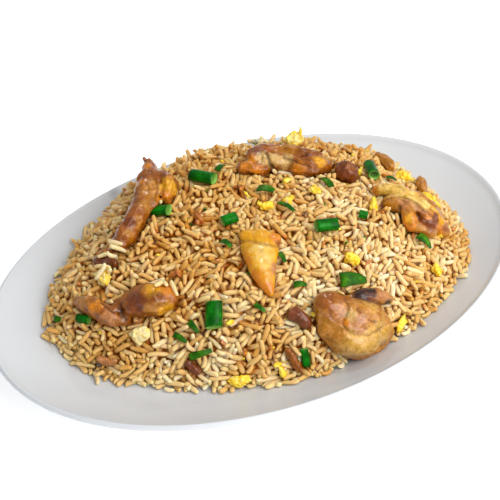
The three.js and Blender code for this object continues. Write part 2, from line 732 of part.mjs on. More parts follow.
function riceSolid() {
  const points = [...grainPoints(), ...skirtPoints()];
  const corners = [];
  const push = (...places) => places.forEach((place) => corners.push(place.x, place.y, place.z));
  const lowered = (place) => new THREE.Vector3(place.x, place.y, RICE_BOTTOM);
  const edges = new Map();
  for (const triangle of triangulate(points.map((point) => point.flat))) {
    const [i, j, k] = triangle;
    push(points[i].place, points[j].place, points[k].place);
    for (const [start, end] of [[i, j], [j, k], [k, i]]) {
      if (edges.has(`${end} ${start}`)) edges.delete(`${end} ${start}`);
      else edges.set(`${start} ${end}`, [points[start].place, points[end].place]);
    }
  }
  const middle = new THREE.Vector3(0, 0, RICE_BOTTOM);
  for (const [start, end] of edges.values()) {
    push(start, lowered(start), lowered(end));
    push(start, lowered(end), end);
    push(middle, lowered(end), lowered(start));
  }
  const geometry = new THREE.BufferGeometry();
  geometry.setAttribute('position', new THREE.BufferAttribute(new Float32Array(corners), 3));
  return toSolid(geometry);
}

// Putting it together

const group = new THREE.Group();

function addNode(name, solid, finish) {
  const material = new THREE.MeshStandardMaterial({ ...finish, metalness: 0 });
  const mesh = new THREE.Mesh(toGeometry(solid), material);
  mesh.name = name;
  group.add(mesh);
}

function overlaps(a, b) {
  const first = a.boundingBox();
  const second = b.boundingBox();
  return [0, 1, 2].every((k) => first.min[k] < second.max[k] && second.min[k] < first.max[k]);
}

const below = underPlate();
const cutters = [];

// a plainer and slightly larger copy of a topping that holds all of it, to cut its place in the rice
function plainCopy(solid, makePlain) {
  const step = 0.15;
  let grow = 0;
  while (solid.subtract(makePlain(grow)).volume() > 0) grow += step;
  return makePlain(grow + GAP);
}

// every topping is cut to fit the plate and the toppings laid before it
function addTopping(name, makeFine, makePlain, finish) {
  let solid = makeFine().subtract(below);
  for (const cutter of cutters) {
    if (overlaps(solid, cutter)) solid = solid.subtract(cutter);
  }
  addNode(name, largestPiece(solid), finish);
  cutters.push(plainCopy(makeFine(), makePlain));
}

addNode('plate', toSolid(ovalLathe(plateProfile())), FINISHES.porcelain);
for (const [name, parts] of Object.entries(CHICKEN)) {
  const plainParts = parts.map((part) => ({ ...part, sides: Math.min(part.sides ?? 8, 8) - 2 }));
  const makeFine = () => joined(parts.map((part) => morsel(part, 0)));
  const makePlain = (grow) => joined(plainParts.map((part) => morsel(part, grow)));
  const finish = name === 'chicken_skin' ? FINISHES.skin : FINISHES.chicken;
  addTopping(name, makeFine, makePlain, finish);
}
for (const [name, curds] of Object.entries(EGG)) {
  const makeFine = () => joined(curds.map((size) => curd(size, 0)));
  const makePlain = (grow) => joined(curds.map((size) => curd({ ...size, detail: 0 }, grow)));
  addTopping(name, makeFine, makePlain, FINISHES.egg);
}
for (const [name, size] of Object.entries(STALKS)) {
  const plain = { ...size, wall: 0, sides: 6 };
  addTopping(name, () => stalk(size, 0), (grow) => stalk(plain, grow), FINISHES.scallion);
}
for (const [name, size] of Object.entries(BLADES)) {
  addTopping(name, () => blade(size, 0), (grow) => blade(size, grow), FINISHES.scallion);
}

let rice = riceSolid().subtract(below);
for (const cutter of cutters) {
  if (rice.intersect(cutter).volume() > 0) rice = rice.subtract(cutter);
}
for (const size of CHIPS) {
  const chip = blade(size, 0);
  if (!cutters.some((cutter) => overlaps(chip, cutter))) rice = rice.add(chip);
}
addNode('rice', largestPiece(rice), FINISHES.rice);

export default group;
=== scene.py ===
# %% [markdown]
# A plate of chicken fried rice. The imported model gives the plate, the heap and the places of all toppings;
# this script dresses them: single grains of rice laid one by one, browned chicken, scrambled egg and cut
# scallions. Every shape is worked out in millimetres and turned to metres when it becomes an object.

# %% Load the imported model
import math

import bmesh
import bpy
import numpy as np
from mathutils import Matrix, Vector, noise
from mathutils.bvhtree import BVHTree


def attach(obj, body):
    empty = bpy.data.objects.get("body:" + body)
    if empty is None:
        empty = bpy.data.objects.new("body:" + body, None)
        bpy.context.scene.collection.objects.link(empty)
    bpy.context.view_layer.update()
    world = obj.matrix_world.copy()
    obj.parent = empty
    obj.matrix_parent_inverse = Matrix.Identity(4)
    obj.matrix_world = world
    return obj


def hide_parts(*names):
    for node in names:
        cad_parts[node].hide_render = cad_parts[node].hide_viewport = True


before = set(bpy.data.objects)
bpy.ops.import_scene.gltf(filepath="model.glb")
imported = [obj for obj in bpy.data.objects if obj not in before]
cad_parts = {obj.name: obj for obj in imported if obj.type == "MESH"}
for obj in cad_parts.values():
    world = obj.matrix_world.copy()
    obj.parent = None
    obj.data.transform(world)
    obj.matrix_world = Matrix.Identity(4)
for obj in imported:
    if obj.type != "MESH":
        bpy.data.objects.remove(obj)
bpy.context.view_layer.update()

MM = 0.001
print("nodes in the frame:", len(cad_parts))

# %% [markdown]
# The camera looks down on the plate from the front left. A long lens keeps the oval of the plate calm. The
# image is square, so one focal length sets both of its sides.

# %% Camera
AIM = Vector((-3.2, 5.2, 30)) * MM
CAMERA_AZIMUTH = math.radians(-36.5)
CAMERA_ELEVATION = math.radians(38)
CAMERA_DISTANCE = 650 * MM
CAMERA_LENS = 92.4

towards = Vector((
    math.sin(CAMERA_AZIMUTH) * math.cos(CAMERA_ELEVATION),
    -math.cos(CAMERA_AZIMUTH) * math.cos(CAMERA_ELEVATION),
    math.sin(CAMERA_ELEVATION),
))
camera = bpy.data.objects.new("camera", bpy.data.cameras.new("camera"))
camera.data.lens = CAMERA_LENS
camera.data.sensor_width = 36
camera.location = AIM + towards * CAMERA_DISTANCE
camera.rotation_euler = (-towards).to_track_quat("-Z", "Y").to_euler()
bpy.context.scene.collection.objects.link(camera)
bpy.context.scene.camera = camera
bpy.context.scene.view_settings.view_transform = "Standard"

# %% [markdown]
# Food photographs are lit softly. A wide panel stands at the right and another in front, so that the left of
# the heap and the plate behind it fall into a little shade, which the pale studio all round keeps open. Two
# small panels, one behind at the right and one overhead, give the wet pieces their glints.

# %% Lights
def soft_panel(name, place, size, power, colour):
    """A square light panel at a place in millimetres, turned towards the food."""
    data = bpy.data.lights.new(name, "AREA")
    data.size = size * MM
    data.energy = power
    data.color = colour
    panel = bpy.data.objects.new(name, data)
    panel.location = Vector(place) * MM
    panel.rotation_euler = (AIM - panel.location).to_track_quat("-Z", "Y").to_euler()
    bpy.context.scene.collection.objects.link(panel)


soft_panel("key", (370, -400, 440), 600, 1.8, (1, 0.99, 0.975))
soft_panel("glint", (260, 380, 470), 50, 0.42, (1, 0.995, 0.985))
soft_panel("overhead", (110, -60, 640), 50, 0.45, (1, 0.995, 0.985))
soft_panel("front", (-10, -500, 480), 460, 3.1, (1, 0.995, 0.985))

world = bpy.data.worlds.new("studio")
world.use_nodes = True
world.node_tree.nodes["Background"].inputs["Color"].default_value = (0.96, 0.98, 1, 1)
world.node_tree.nodes["Background"].inputs["Strength"].default_value = 0.435
bpy.context.scene.world = world


# %% [markdown]
# Colours are written as a screen shows them. Blender computes with linear light, so one function turns them.
# Another adds a node to a material: its settings come as named values and its inputs as numbers or as the
# output of an earlier node. A Mix node that mixes colours has them in its inputs 6 and 7 and its output 2.

# %% Colour and node helpers
def linear(hex_colour):
    """An sRGB colour such as 'E8D2A4' as linear red, green and blue, with a full alpha."""
    values = [int(hex_colour[i:i + 2], 16) / 255 for i in (0, 2, 4)]
    return tuple(v / 12.92 if v <= 0.04045 else ((v + 0.055) / 1.055) ** 2.4 for v in values) + (1.0,)


def add_node(material, kind, inputs=None, stops=None, **settings):
    """Adds a node. Inputs are values or other nodes' outputs; stops are the places and colours of a ramp."""
    tree = material.node_tree
    node = tree.nodes.new("ShaderNode" + kind)
    for name, value in settings.items():
        setattr(node, name, value)
    if stops:
        elements = node.color_ramp.elements
        while len(elements) < len(stops):
            elements.new(0.5)
        for element, (place, colour) in zip(elements, stops):
            element.position = place
            element.color = linear(colour)
    for name, value in (inputs or {}).items():
        socket = node.inputs[name]
        if isinstance(value, bpy.types.NodeSocket):
            tree.links.new(value, socket)
        else:
            socket.default_value = value
    return node


def new_material(name, values):
    """A material and its Principled shader, with the shader's values that are the same all over."""
    material = bpy.data.materials.new(name)
    material.use_nodes = True
    shader = material.node_tree.nodes["Principled BSDF"]
    for socket, value in values.items():
        shader.inputs[socket].default_value = value
    return material, shader


def link(material, output, socket):
    """Leads an output into a socket of an earlier node."""
    material.node_tree.links.new(output, socket)


# %% [markdown]
# A piece is finished when it has its place in its mesh and a material, hangs under the root, and the imported
# solids that it replaces are hidden; a printed line gives its name and its triangles. One function does this
# for a bmesh built in millimetres, another for a mesh of many small copies.

# %% Finishing a piece
def finish_mesh(name, mesh, material, nodes):
    """Turns a mesh in metres into a piece of the part."""
    mesh.shade_smooth()
    mesh.materials.clear()
    mesh.materials.append(material)
    piece = bpy.data.objects.new(name, mesh)
    bpy.context.scene.collection.objects.link(piece)
    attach(piece, "root")
    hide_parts(*nodes)
    triangles = sum(len(face.vertices) - 2 for face in mesh.polygons)
    print(f"{name}: {triangles} triangles")
    return piece


def finish_bmesh(name, bm, material, nodes):
    """Turns a bmesh in millimetres into a piece of the part."""
    bmesh.ops.scale(bm, vec=(MM, MM, MM), verts=bm.verts)
    mesh = bpy.data.meshes.new(name)
    bm.to_mesh(mesh)
    bm.free()
    return finish_mesh(name, mesh, material, nodes)


# %% [markdown]
# The plate rises in a soft slope from a flat floor to a rounded lip. Its outline is an oval, and all of its
# rings keep the same distance from that oval. The functions below give the height of the plate and of the
# heap at any place, for single numbers and for whole arrays alike.

# %% The plate's and the heap's heights
PLATE_LENGTH, PLATE_WIDTH = 290.0, 201.0
RIM_HEIGHT, WELL_FLOOR = 26.0, 6.0
RIM_SLOPE, SLOPE_POWER = 46.0, 1.6
WALL, LIP_RADIUS = 3.4, 1.6
FOOT_INSET, FOOT_RING, FOOT_RECESS, FOOT_FLARE = 50.0, 4.0, 1.5, 1.0
HALF_LENGTH, HALF_WIDTH = PLATE_LENGTH / 2, PLATE_WIDTH / 2

HEAP_CENTRE = (9.4, 9.5)
HEAP_HALF = (113.6, 83.4)
HEAP_RISE, HEAP_SHOULDER, HEAP_EDGE = 46.0, 2.5, 0.66
HEAP_LOBES = ((2, -0.007, -0.036), (3, -0.019, 0.009), (4, 0.011, -0.002), (5, -0.011, 0.010))


def inset_of(x, y):
    """How far in from the rim a place is."""
    low = np.full(np.shape(x), -60.0)
    high = np.full(np.shape(x), HALF_WIDTH - 0.5)
    for _ in range(40):
        middle = (low + high) / 2
        inside = (x / (HALF_LENGTH - middle)) ** 2 + (y / (HALF_WIDTH - middle)) ** 2 < 1
        low, high = np.where(inside, middle, low), np.where(inside, high, middle)
    return low


def slope_height(inset):
    share = np.clip(1 - inset / RIM_SLOPE, 0, 1)
    return WELL_FLOOR + (RIM_HEIGHT - WELL_FLOOR) * share ** SLOPE_POWER


def plate_height(x, y):
    return slope_height(inset_of(x, y))


def outline_scale(angle):
    scale = 1.0
    for order, cosine, sine in HEAP_LOBES:
        scale = scale + cosine * np.cos(order * angle) + sine * np.sin(order * angle)
    return scale


def heap_share(x, y):
    """Share of the way from the heap's middle to its edge, and the angle."""
    u = (x - HEAP_CENTRE[0]) / HEAP_HALF[0]
    v = (y - HEAP_CENTRE[1]) / HEAP_HALF[1]
    angle = np.arctan2(v, u)
    return np.hypot(u, v) / outline_scale(angle), angle


def heap_height(x, y):
    share, angle = heap_share(x, y)
    reach = outline_scale(angle)
    edge_x = HEAP_CENTRE[0] + HEAP_HALF[0] * reach * np.cos(angle)
    edge_y = HEAP_CENTRE[1] + HEAP_HALF[1] * reach * np.sin(angle)
    inside = np.minimum(share, 1)
    fall = (1 - inside ** HEAP_SHOULDER) ** HEAP_EDGE
    ground = plate_height(edge_x, edge_y) * inside ** 2 + WELL_FLOOR * (1 - inside ** 2)
    return ground + HEAP_RISE * fall


def heap_normal(x, y):
    step = 2.0
    across = (heap_height(x + step, y) - heap_height(x - step, y)) / (2 * step)
    along = (heap_height(x, y + step) - heap_height(x, y - step)) / (2 * step)
    return Vector((-float(across), -float(along), 1)).normalized()


def on_heap(x, y, lift=0.0):
    """A place at a height above the bare heap."""
    return Vector((x, y, float(heap_height(x, y)) + lift))


print("top of the bare heap:", round(float(heap_height(*HEAP_CENTRE)), 1), "mm")


# %% [markdown]
# Glazed porcelain is a white body under a thin glass. Years of washing have dulled the glass, so it shows the
# panels as a soft sheen, and the body under it is slightly cool. Firing leaves the glaze a little uneven, and
# a used plate carries a faint smudge and a few pinholes.

# %% Material: glazed porcelain
SMUDGE = (-28.5, 96.4, 24)


def glazed_porcelain():
    material, shader = new_material("white glazed porcelain", {
        "Roughness": 0.34, "IOR": 1.5, "Specular IOR Level": 0.35,
    })
    place = add_node(material, "TexCoord").outputs["Object"]
    cloud = add_node(material, "TexNoise", {"Vector": place, "Scale": 18, "Detail": 3})
    tint = add_node(
        material, "ValToRGB", {"Fac": cloud.outputs["Fac"]},
        stops=[(0.3, "CDD0D4"), (0.7, "D3D6D9")],
    )
    specks = add_node(material, "TexVoronoi", {"Vector": place, "Scale": 55, "Randomness": 1})
    speck = add_node(material, "Math", {0: specks.outputs["Distance"], 1: 0.018}, operation="LESS_THAN")
    faint = add_node(material, "Math", {0: speck.outputs[0], 1: 0.35}, operation="MULTIPLY")
    body = add_node(
        material, "Mix",
        {"Factor": faint.outputs[0], 6: tint.outputs["Color"], 7: linear("8E8C88")}, data_type="RGBA",
    )
    apart = add_node(
        material, "VectorMath", {0: place, 1: tuple(k * MM for k in SMUDGE)}, operation="DISTANCE",
    )
    grey = add_node(
        material, "MapRange",
        {
            "Value": apart.outputs["Value"], "From Min": 1 * MM, "From Max": 5 * MM,
            "To Min": 0.45, "To Max": 0,
        },
    )
    smudged = add_node(
        material, "Mix",
        {"Factor": grey.outputs[0], 6: body.outputs[2], 7: linear("8C8E94")}, data_type="RGBA",
    )
    link(material, smudged.outputs[2], shader.inputs["Base Color"])
    waves = add_node(material, "TexNoise", {"Vector": place, "Scale": 40, "Detail": 2})
    bump = add_node(material, "Bump", {"Height": waves.outputs["Fac"], "Strength": 0.06, "Distance": 0.001})
    link(material, bump.outputs["Normal"], shader.inputs["Normal"])
    return material


# %% [markdown]
# The plate was shaped in a mould and trimmed on a wheel, so turning its profile round the axis is the natural
# way to make it. Spin gives a round plate, and pulling the rings in along Y gives the oval.

# %% Plate
RINGS_ON_SLOPE = 16
LIP_STEPS = 9
PLATE_STEPS = 180


def plate_profile():
    """Radius and height from the middle of the top, over the lip, to the middle of the underside."""
    points = [(0.0, WELL_FLOOR)]
    for inset in np.linspace(RIM_SLOPE, LIP_RADIUS + 1, RINGS_ON_SLOPE):
        points.append((HALF_LENGTH - inset, float(slope_height(inset))))
    for degrees in np.linspace(90, -70, LIP_STEPS):
        turn = math.radians(degrees)
        points.append((
            HALF_LENGTH - LIP_RADIUS + LIP_RADIUS * math.cos(turn),
            RIM_HEIGHT - LIP_RADIUS + LIP_RADIUS * math.sin(turn),
        ))
    for inset in np.linspace(6, 40, RINGS_ON_SLOPE // 2):
        points.append((HALF_LENGTH - inset, float(slope_height(inset)) - WALL))
    foot = HALF_LENGTH - FOOT_INSET
    points += [(foot + FOOT_FLARE, FOOT_RECESS), (foot, 0.0)]
    points += [(foot - FOOT_RING, 0.0), (foot - FOOT_RING - FOOT_FLARE, FOOT_RECESS), (0.0, FOOT_RECESS)]
    return points


def oval_place(place):
    """Moves a place on the round plate to the oval one."""
    turning = HALF_LENGTH - FOOT_INSET - FOOT_RING - FOOT_FLARE
    radius = math.hypot(place.x, place.y)
    if radius == 0:
        return
    inner = turning - (HALF_LENGTH - HALF_WIDTH)
    narrow = min(radius, turning) * inner / turning + max(radius - turning, 0)
    place.y *= narrow / radius


def make_plate():
    bm = bmesh.new()
    corners = [bm.verts.new((radius, 0, height)) for radius, height in plate_profile()]
    for first, second in zip(corners, corners[1:]):
        bm.edges.new((first, second))
    bmesh.ops.spin(
        bm, geom=bm.verts[:] + bm.edges[:], cent=(0, 0, 0), axis=(0, 0, 1),
        angle=2 * math.pi, steps=PLATE_STEPS, use_merge=True,
    )
    bmesh.ops.remove_doubles(bm, verts=bm.verts, dist=0.001)
    bmesh.ops.recalc_face_normals(bm, faces=bm.faces)
    for vert in bm.verts:
        oval_place(vert.co)
    return finish_bmesh("plate_glazed", bm, glazed_porcelain(), ["plate"])


make_plate()


# %% [markdown]
# Pieces of chicken were torn and chopped, then fried. The imported solid of each is its plain form. A copy,
# with a few balls added where muscle bulges, is joined into one skin of small even faces by a voxel remesh
# and smoothed. Noise then pushes it in and out: broad lumps, knots, wrinkles that run along the piece, and a
# fine grain. Zones of colour are painted on the vertices, because skin, meat, fat and bone end differ within
# one piece, and the hollows of the knots and wrinkles are darkened as painted shade.

# %% Shaping helpers for the toppings
def node_bmesh(node):
    """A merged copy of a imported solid, in millimetres."""
    bm = bmesh.new()
    bm.from_mesh(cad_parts[node].data)
    bmesh.ops.scale(bm, vec=(1 / MM,) * 3, verts=bm.verts)
    bmesh.ops.remove_doubles(bm, verts=bm.verts, dist=0.01)
    return bm


def add_lump(bm, place, half, along=(1, 0, 0)):
    """Adds a ball to a bmesh: its middle, its half sizes along, across and up, and the way that it lies."""
    made = bmesh.ops.create_icosphere(bm, subdivisions=3, radius=1)["verts"]
    turn = Vector(along).normalized().to_track_quat("X", "Z").to_matrix().to_4x4()
    size = Matrix.Diagonal((*half, 1))
    bmesh.ops.transform(bm, matrix=Matrix.Translation(place) @ turn @ size, verts=made)


def remeshed(bm, voxel, smoothing):
    """One even skin round everything in a bmesh, as a mesh in millimetres."""
    mesh = bpy.data.meshes.new("rough")
    bm.to_mesh(mesh)
    bm.free()
    rough = bpy.data.objects.new("rough", mesh)
    bpy.context.scene.collection.objects.link(rough)
    skin = rough.modifiers.new("skin", "REMESH")
    skin.mode = "VOXEL"
    skin.voxel_size = voxel
    smooth = rough.modifiers.new("smooth", "SMOOTH")
    smooth.factor = 0.5
    smooth.iterations = smoothing
    graph = bpy.context.evaluated_depsgraph_get()
    done = bpy.data.meshes.new_from_object(rough.evaluated_get(graph))
    bpy.data.objects.remove(rough)
    return done


def mesh_places(mesh):
    places = np.empty(len(mesh.vertices) * 3)
    mesh.vertices.foreach_get("co", places)
    return places.reshape(-1, 3)


def mesh_normals(mesh):
    normals = np.empty(len(mesh.vertices) * 3)
    mesh.vertices.foreach_get("normal", normals)
    return normals.reshape(-1, 3)


def set_places(mesh, places):
    mesh.vertices.foreach_set("co", places.ravel())
    mesh.update()


def noise_at(places, size, seed):
    """Smooth noise from about -1 to 1 at each place, its lumps about as long as size."""
    offset = Vector((seed * 17.3, seed * -9.1, seed * 5.7))
    return np.array([noise.noise(Vector(place) / size + offset) for place in places])


def stretched(places, along, ratio):
    """Places squeezed along a direction, so that noise read there is drawn out into fibres."""
    along = np.array(Vector(along).normalized())
    part = places @ along
    return places - np.outer(part, along) * (1 - 1 / ratio)


def paint(mesh, name, values):
    """Stores one number for each vertex, for the material to read."""
    layer = mesh.attributes.new(name, "FLOAT", "POINT")
    layer.data.foreach_set("value", np.asarray(values, dtype=np.float32))


# %% [markdown]
# Fried chicken is opaque meat under a thin wet film of oil. Where the skin is on it is yellow and smooth,
# where the meat was cut it is paler and pinkish, where it was browned it is nearly the colour of plums, and
# thin edges and the ends of bones are almost black. These zones are painted on the vertices as the piece is
# made, together with painted shade that darkens its creases, wrinkles and hollows. The material breaks them
# up with fibres and blotches one to three millimetres wide, and its coat gives the small glints of oil, which
# come and go because the film is not even.

# %% Material: fried chicken
def fried_chicken(name, glow, wrinkled, mottled):
    """Chicken whose colour is painted on the piece.

    Glow is how much light its fat lets in, wrinkled how rough its fibres are, and mottled how uneven its
    colour.
    """
    material, shader = new_material(name, {
        "IOR": 1.42, "Specular IOR Level": 0.2, "Subsurface Weight": glow,
        "Subsurface Radius": (1, 0.45, 0.2), "Subsurface Scale": 1.4 * MM, "Coat Weight": 0.7,
        "Coat Roughness": 0.1,
    })
    place = add_node(material, "TexCoord").outputs["Object"]
    painted = add_node(material, "Attribute", attribute_name="zones")
    blotch = add_node(
        material, "TexNoise",
        {"Vector": place, "Scale": 330, "Detail": 4, "Roughness": 0.65, "Distortion": 0.8},
    )
    fibre = add_node(material, "TexNoise", {"Vector": place, "Scale": 950, "Detail": 3, "Roughness": 0.7})
    lighter = add_node(
        material, "MapRange",
        {
            "Value": blotch.outputs["Fac"], "From Min": 0.3, "From Max": 0.7,
            "To Min": 1 - mottled, "To Max": 1 + mottled,
        },
    )
    richer = add_node(
        material, "MapRange",
        {"Value": blotch.outputs["Fac"], "From Min": 0.3, "From Max": 0.7, "To Min": 1.12, "To Max": 0.92},
    )
    shaded = add_node(
        material, "HueSaturation",
        {"Value": lighter.outputs[0], "Saturation": richer.outputs[0], "Color": painted.outputs["Color"]},
    )
    grained = add_node(
        material, "MapRange",
        {
            "Value": fibre.outputs["Fac"], "From Min": 0.35, "From Max": 0.65,
            "To Min": 1 - 0.6 * mottled, "To Max": 1 + 0.5 * mottled,
        },
    )
    finished = add_node(
        material, "HueSaturation", {"Value": grained.outputs[0], "Color": shaded.outputs["Color"]},
    )
    link(material, finished.outputs["Color"], shader.inputs["Base Color"])
    film = add_node(material, "TexNoise", {"Vector": place, "Scale": 240, "Detail": 2})
    wet = add_node(
        material, "MapRange",
        {"Value": film.outputs["Fac"], "From Min": 0.35, "From Max": 0.62, "To Min": 0.55, "To Max": 0.24},
    )
    link(material, wet.outputs[0], shader.inputs["Roughness"])
    bump = add_node(
        material, "Bump",
        {"Height": fibre.outputs["Fac"], "Strength": wrinkled, "Distance": 0.35 * MM},
    )
    link(material, bump.outputs["Normal"], shader.inputs["Normal"])
    drops = add_node(material, "TexNoise", {"Vector": place, "Scale": 400, "Detail": 2, "Roughness": 0.6})
    broken = add_node(
        material, "Bump", {"Height": drops.outputs["Fac"], "Strength": 1, "Distance": 0.35 * MM},
    )
    link(material, broken.outputs["Normal"], shader.inputs["Coat Normal"])
    return material


def fried_crumb(name, darker, lighter):
    material, shader = new_material(name, {
        "Roughness": 0.3, "Coat Weight": 0.4, "Coat Roughness": 0.1,
    })
    place = add_node(material, "TexCoord").outputs["Object"]
    cloud = add_node(material, "TexNoise", {"Vector": place, "Scale": 500, "Detail": 2})
    tint = add_node(
        material, "ValToRGB", {"Fac": cloud.outputs["Fac"]},
        stops=[(0.35, darker), (0.65, lighter)],
    )
    link(material, tint.outputs["Color"], shader.inputs["Base Color"])
    return material


caramelized = fried_crumb("caramelized sauce and fried bits", "A04A0C", "DC8A2A")
scorched = fried_crumb("scorched crumb", "1E1410", "3C2A20")
browned_meat = fried_chicken("fried chicken meat", glow=0.12, wrinkled=0.8, mottled=0.3)
yellow_skin = fried_chicken("fried chicken skin", glow=0.3, wrinkled=0.5, mottled=0.12)


# %% [markdown]
# Each piece of chicken is made by the same steps from its own imported solid. What differs is the direction of
# its fibres, its lumps, its creases, where muscle meets muscle or skin meets meat, and its zones of colour. A
# lump is a ball with a place and half its length. A zone is a colour with a place and a reach. A crease is a
# depth, a width and a chain of places: the chain is eased, laid on the surface, pressed in and darkened with
# painted shade.

# %% Chicken
MEAT_VOXEL = 0.6
CHICKEN_COLOURS = {
    "tan": "B6782C",
    "brown": "94500E",
    "plum": "74360C",
    "milky": "D2AA68",
    "fat": "DE9C12",
    "pale": "E8BC60",
    "pink": "B87A48",
    "cream": "CE9E4C",
    "orange": "D07C10",
    "dark": "33190D",
}


def from_line(places, start, end):
    """Distance of each place from the line between two places."""
    start, end = np.array(start, dtype=float), np.array(end, dtype=float)
    run = end - start
    share = np.clip((places - start) @ run / max(run @ run, 1e-6), 0, 1)
    return np.linalg.norm(places - start - share[:, None] * run, axis=1)


def colour_zones(places, base, zones, seed):
    """The base colour with each zone laid over it, its border made uneven by noise."""
    colour = np.tile(np.array(linear(CHICKEN_COLOURS[base])[:3]), (len(places), 1))
    uneven = noise_at(places, 3.2, seed + 11) + 0.5 * noise_at(places, 1.4, seed + 12)
    for name, x, y, z, reach in zones:
        distance = np.linalg.norm(places - np.array((x, y, z)), axis=1) / reach
        cover = np.clip((1.15 + 0.35 * uneven - distance) / 0.6, 0, 1)[:, None]
        colour = colour * (1 - cover) + np.array(linear(CHICKEN_COLOURS[name])[:3]) * cover
    return colour


def eased(chain):
    """A chain of places with its corners cut twice, so that it bends smoothly."""
    chain = [np.array(place, dtype=float) for place in chain]
    for _ in range(2):
        cut = [k * first + (1 - k) * then for first, then in zip(chain, chain[1:]) for k in (0.75, 0.25)]
        chain = [chain[0], *cut, chain[-1]]
    return chain


def torn_meat(
    node, along, base="brown", zones=(), creases=(), lumps=(), rough=1.0, rounded=5, material=None, seed=1,
):
    bm = node_bmesh(node)
    for x, y, z, half in lumps:
        add_lump(bm, Vector((x, y, z)), (half, half * 0.8, half * 0.6), Vector(along))
    mesh = remeshed(bm, MEAT_VOXEL, rounded)
    places, normals = mesh_places(mesh), mesh_normals(mesh)
    broad = noise_at(places, 6.5, seed)
    knots = noise_at(places, 3.4, seed + 2)
    wrinkle = noise_at(stretched(places, along, 3.5), 1.9, seed + 3)
    fine = noise_at(stretched(places, along, 2.0), 0.9, seed + 7)
    push = 0.006 * rounded + rough * (0.7 * broad + 0.5 * knots - 0.6 * np.abs(wrinkle) + 0.22 * fine)
    colour = colour_zones(places, base, zones, seed)
    # Painted shade: the hollows of wrinkles and knots are darkened in the vertex colour
    shade = np.clip(1 - 0.5 * np.clip(np.abs(wrinkle) - 0.35, 0, 1) - 0.25 * np.clip(-knots, 0, 1), 0.5, 1)
    dark = np.array(linear(CHICKEN_COLOURS["dark"])[:3])
    for depth, width, chain in creases:
        chain = [places[np.argmin(np.linalg.norm(places - place, axis=1))] for place in eased(chain)]
        apart = np.min([from_line(places, *pair) for pair in zip(chain, chain[1:])], axis=0) / width
        press = np.exp(-apart ** 2)
        push -= depth * press
        # Painted shade: the crease is darkened towards the dark colour, more where it is deeper
        crease_shade = (np.clip(press - 0.2, 0, 1) * min(0.75 * depth, 0.9))[:, None]
        colour = colour * (1 - crease_shade) + dark * crease_shade
    colour = colour * shade[:, None]
    set_places(mesh, (places + normals * push[:, None]) * MM)
    layer = mesh.attributes.new("zones", "FLOAT_COLOR", "POINT")
    layer.data.foreach_set("color", np.concatenate([colour, np.ones((len(colour), 1))], axis=1).ravel())
    return finish_mesh(f"{node}_fried", mesh, material or browned_meat, [node])


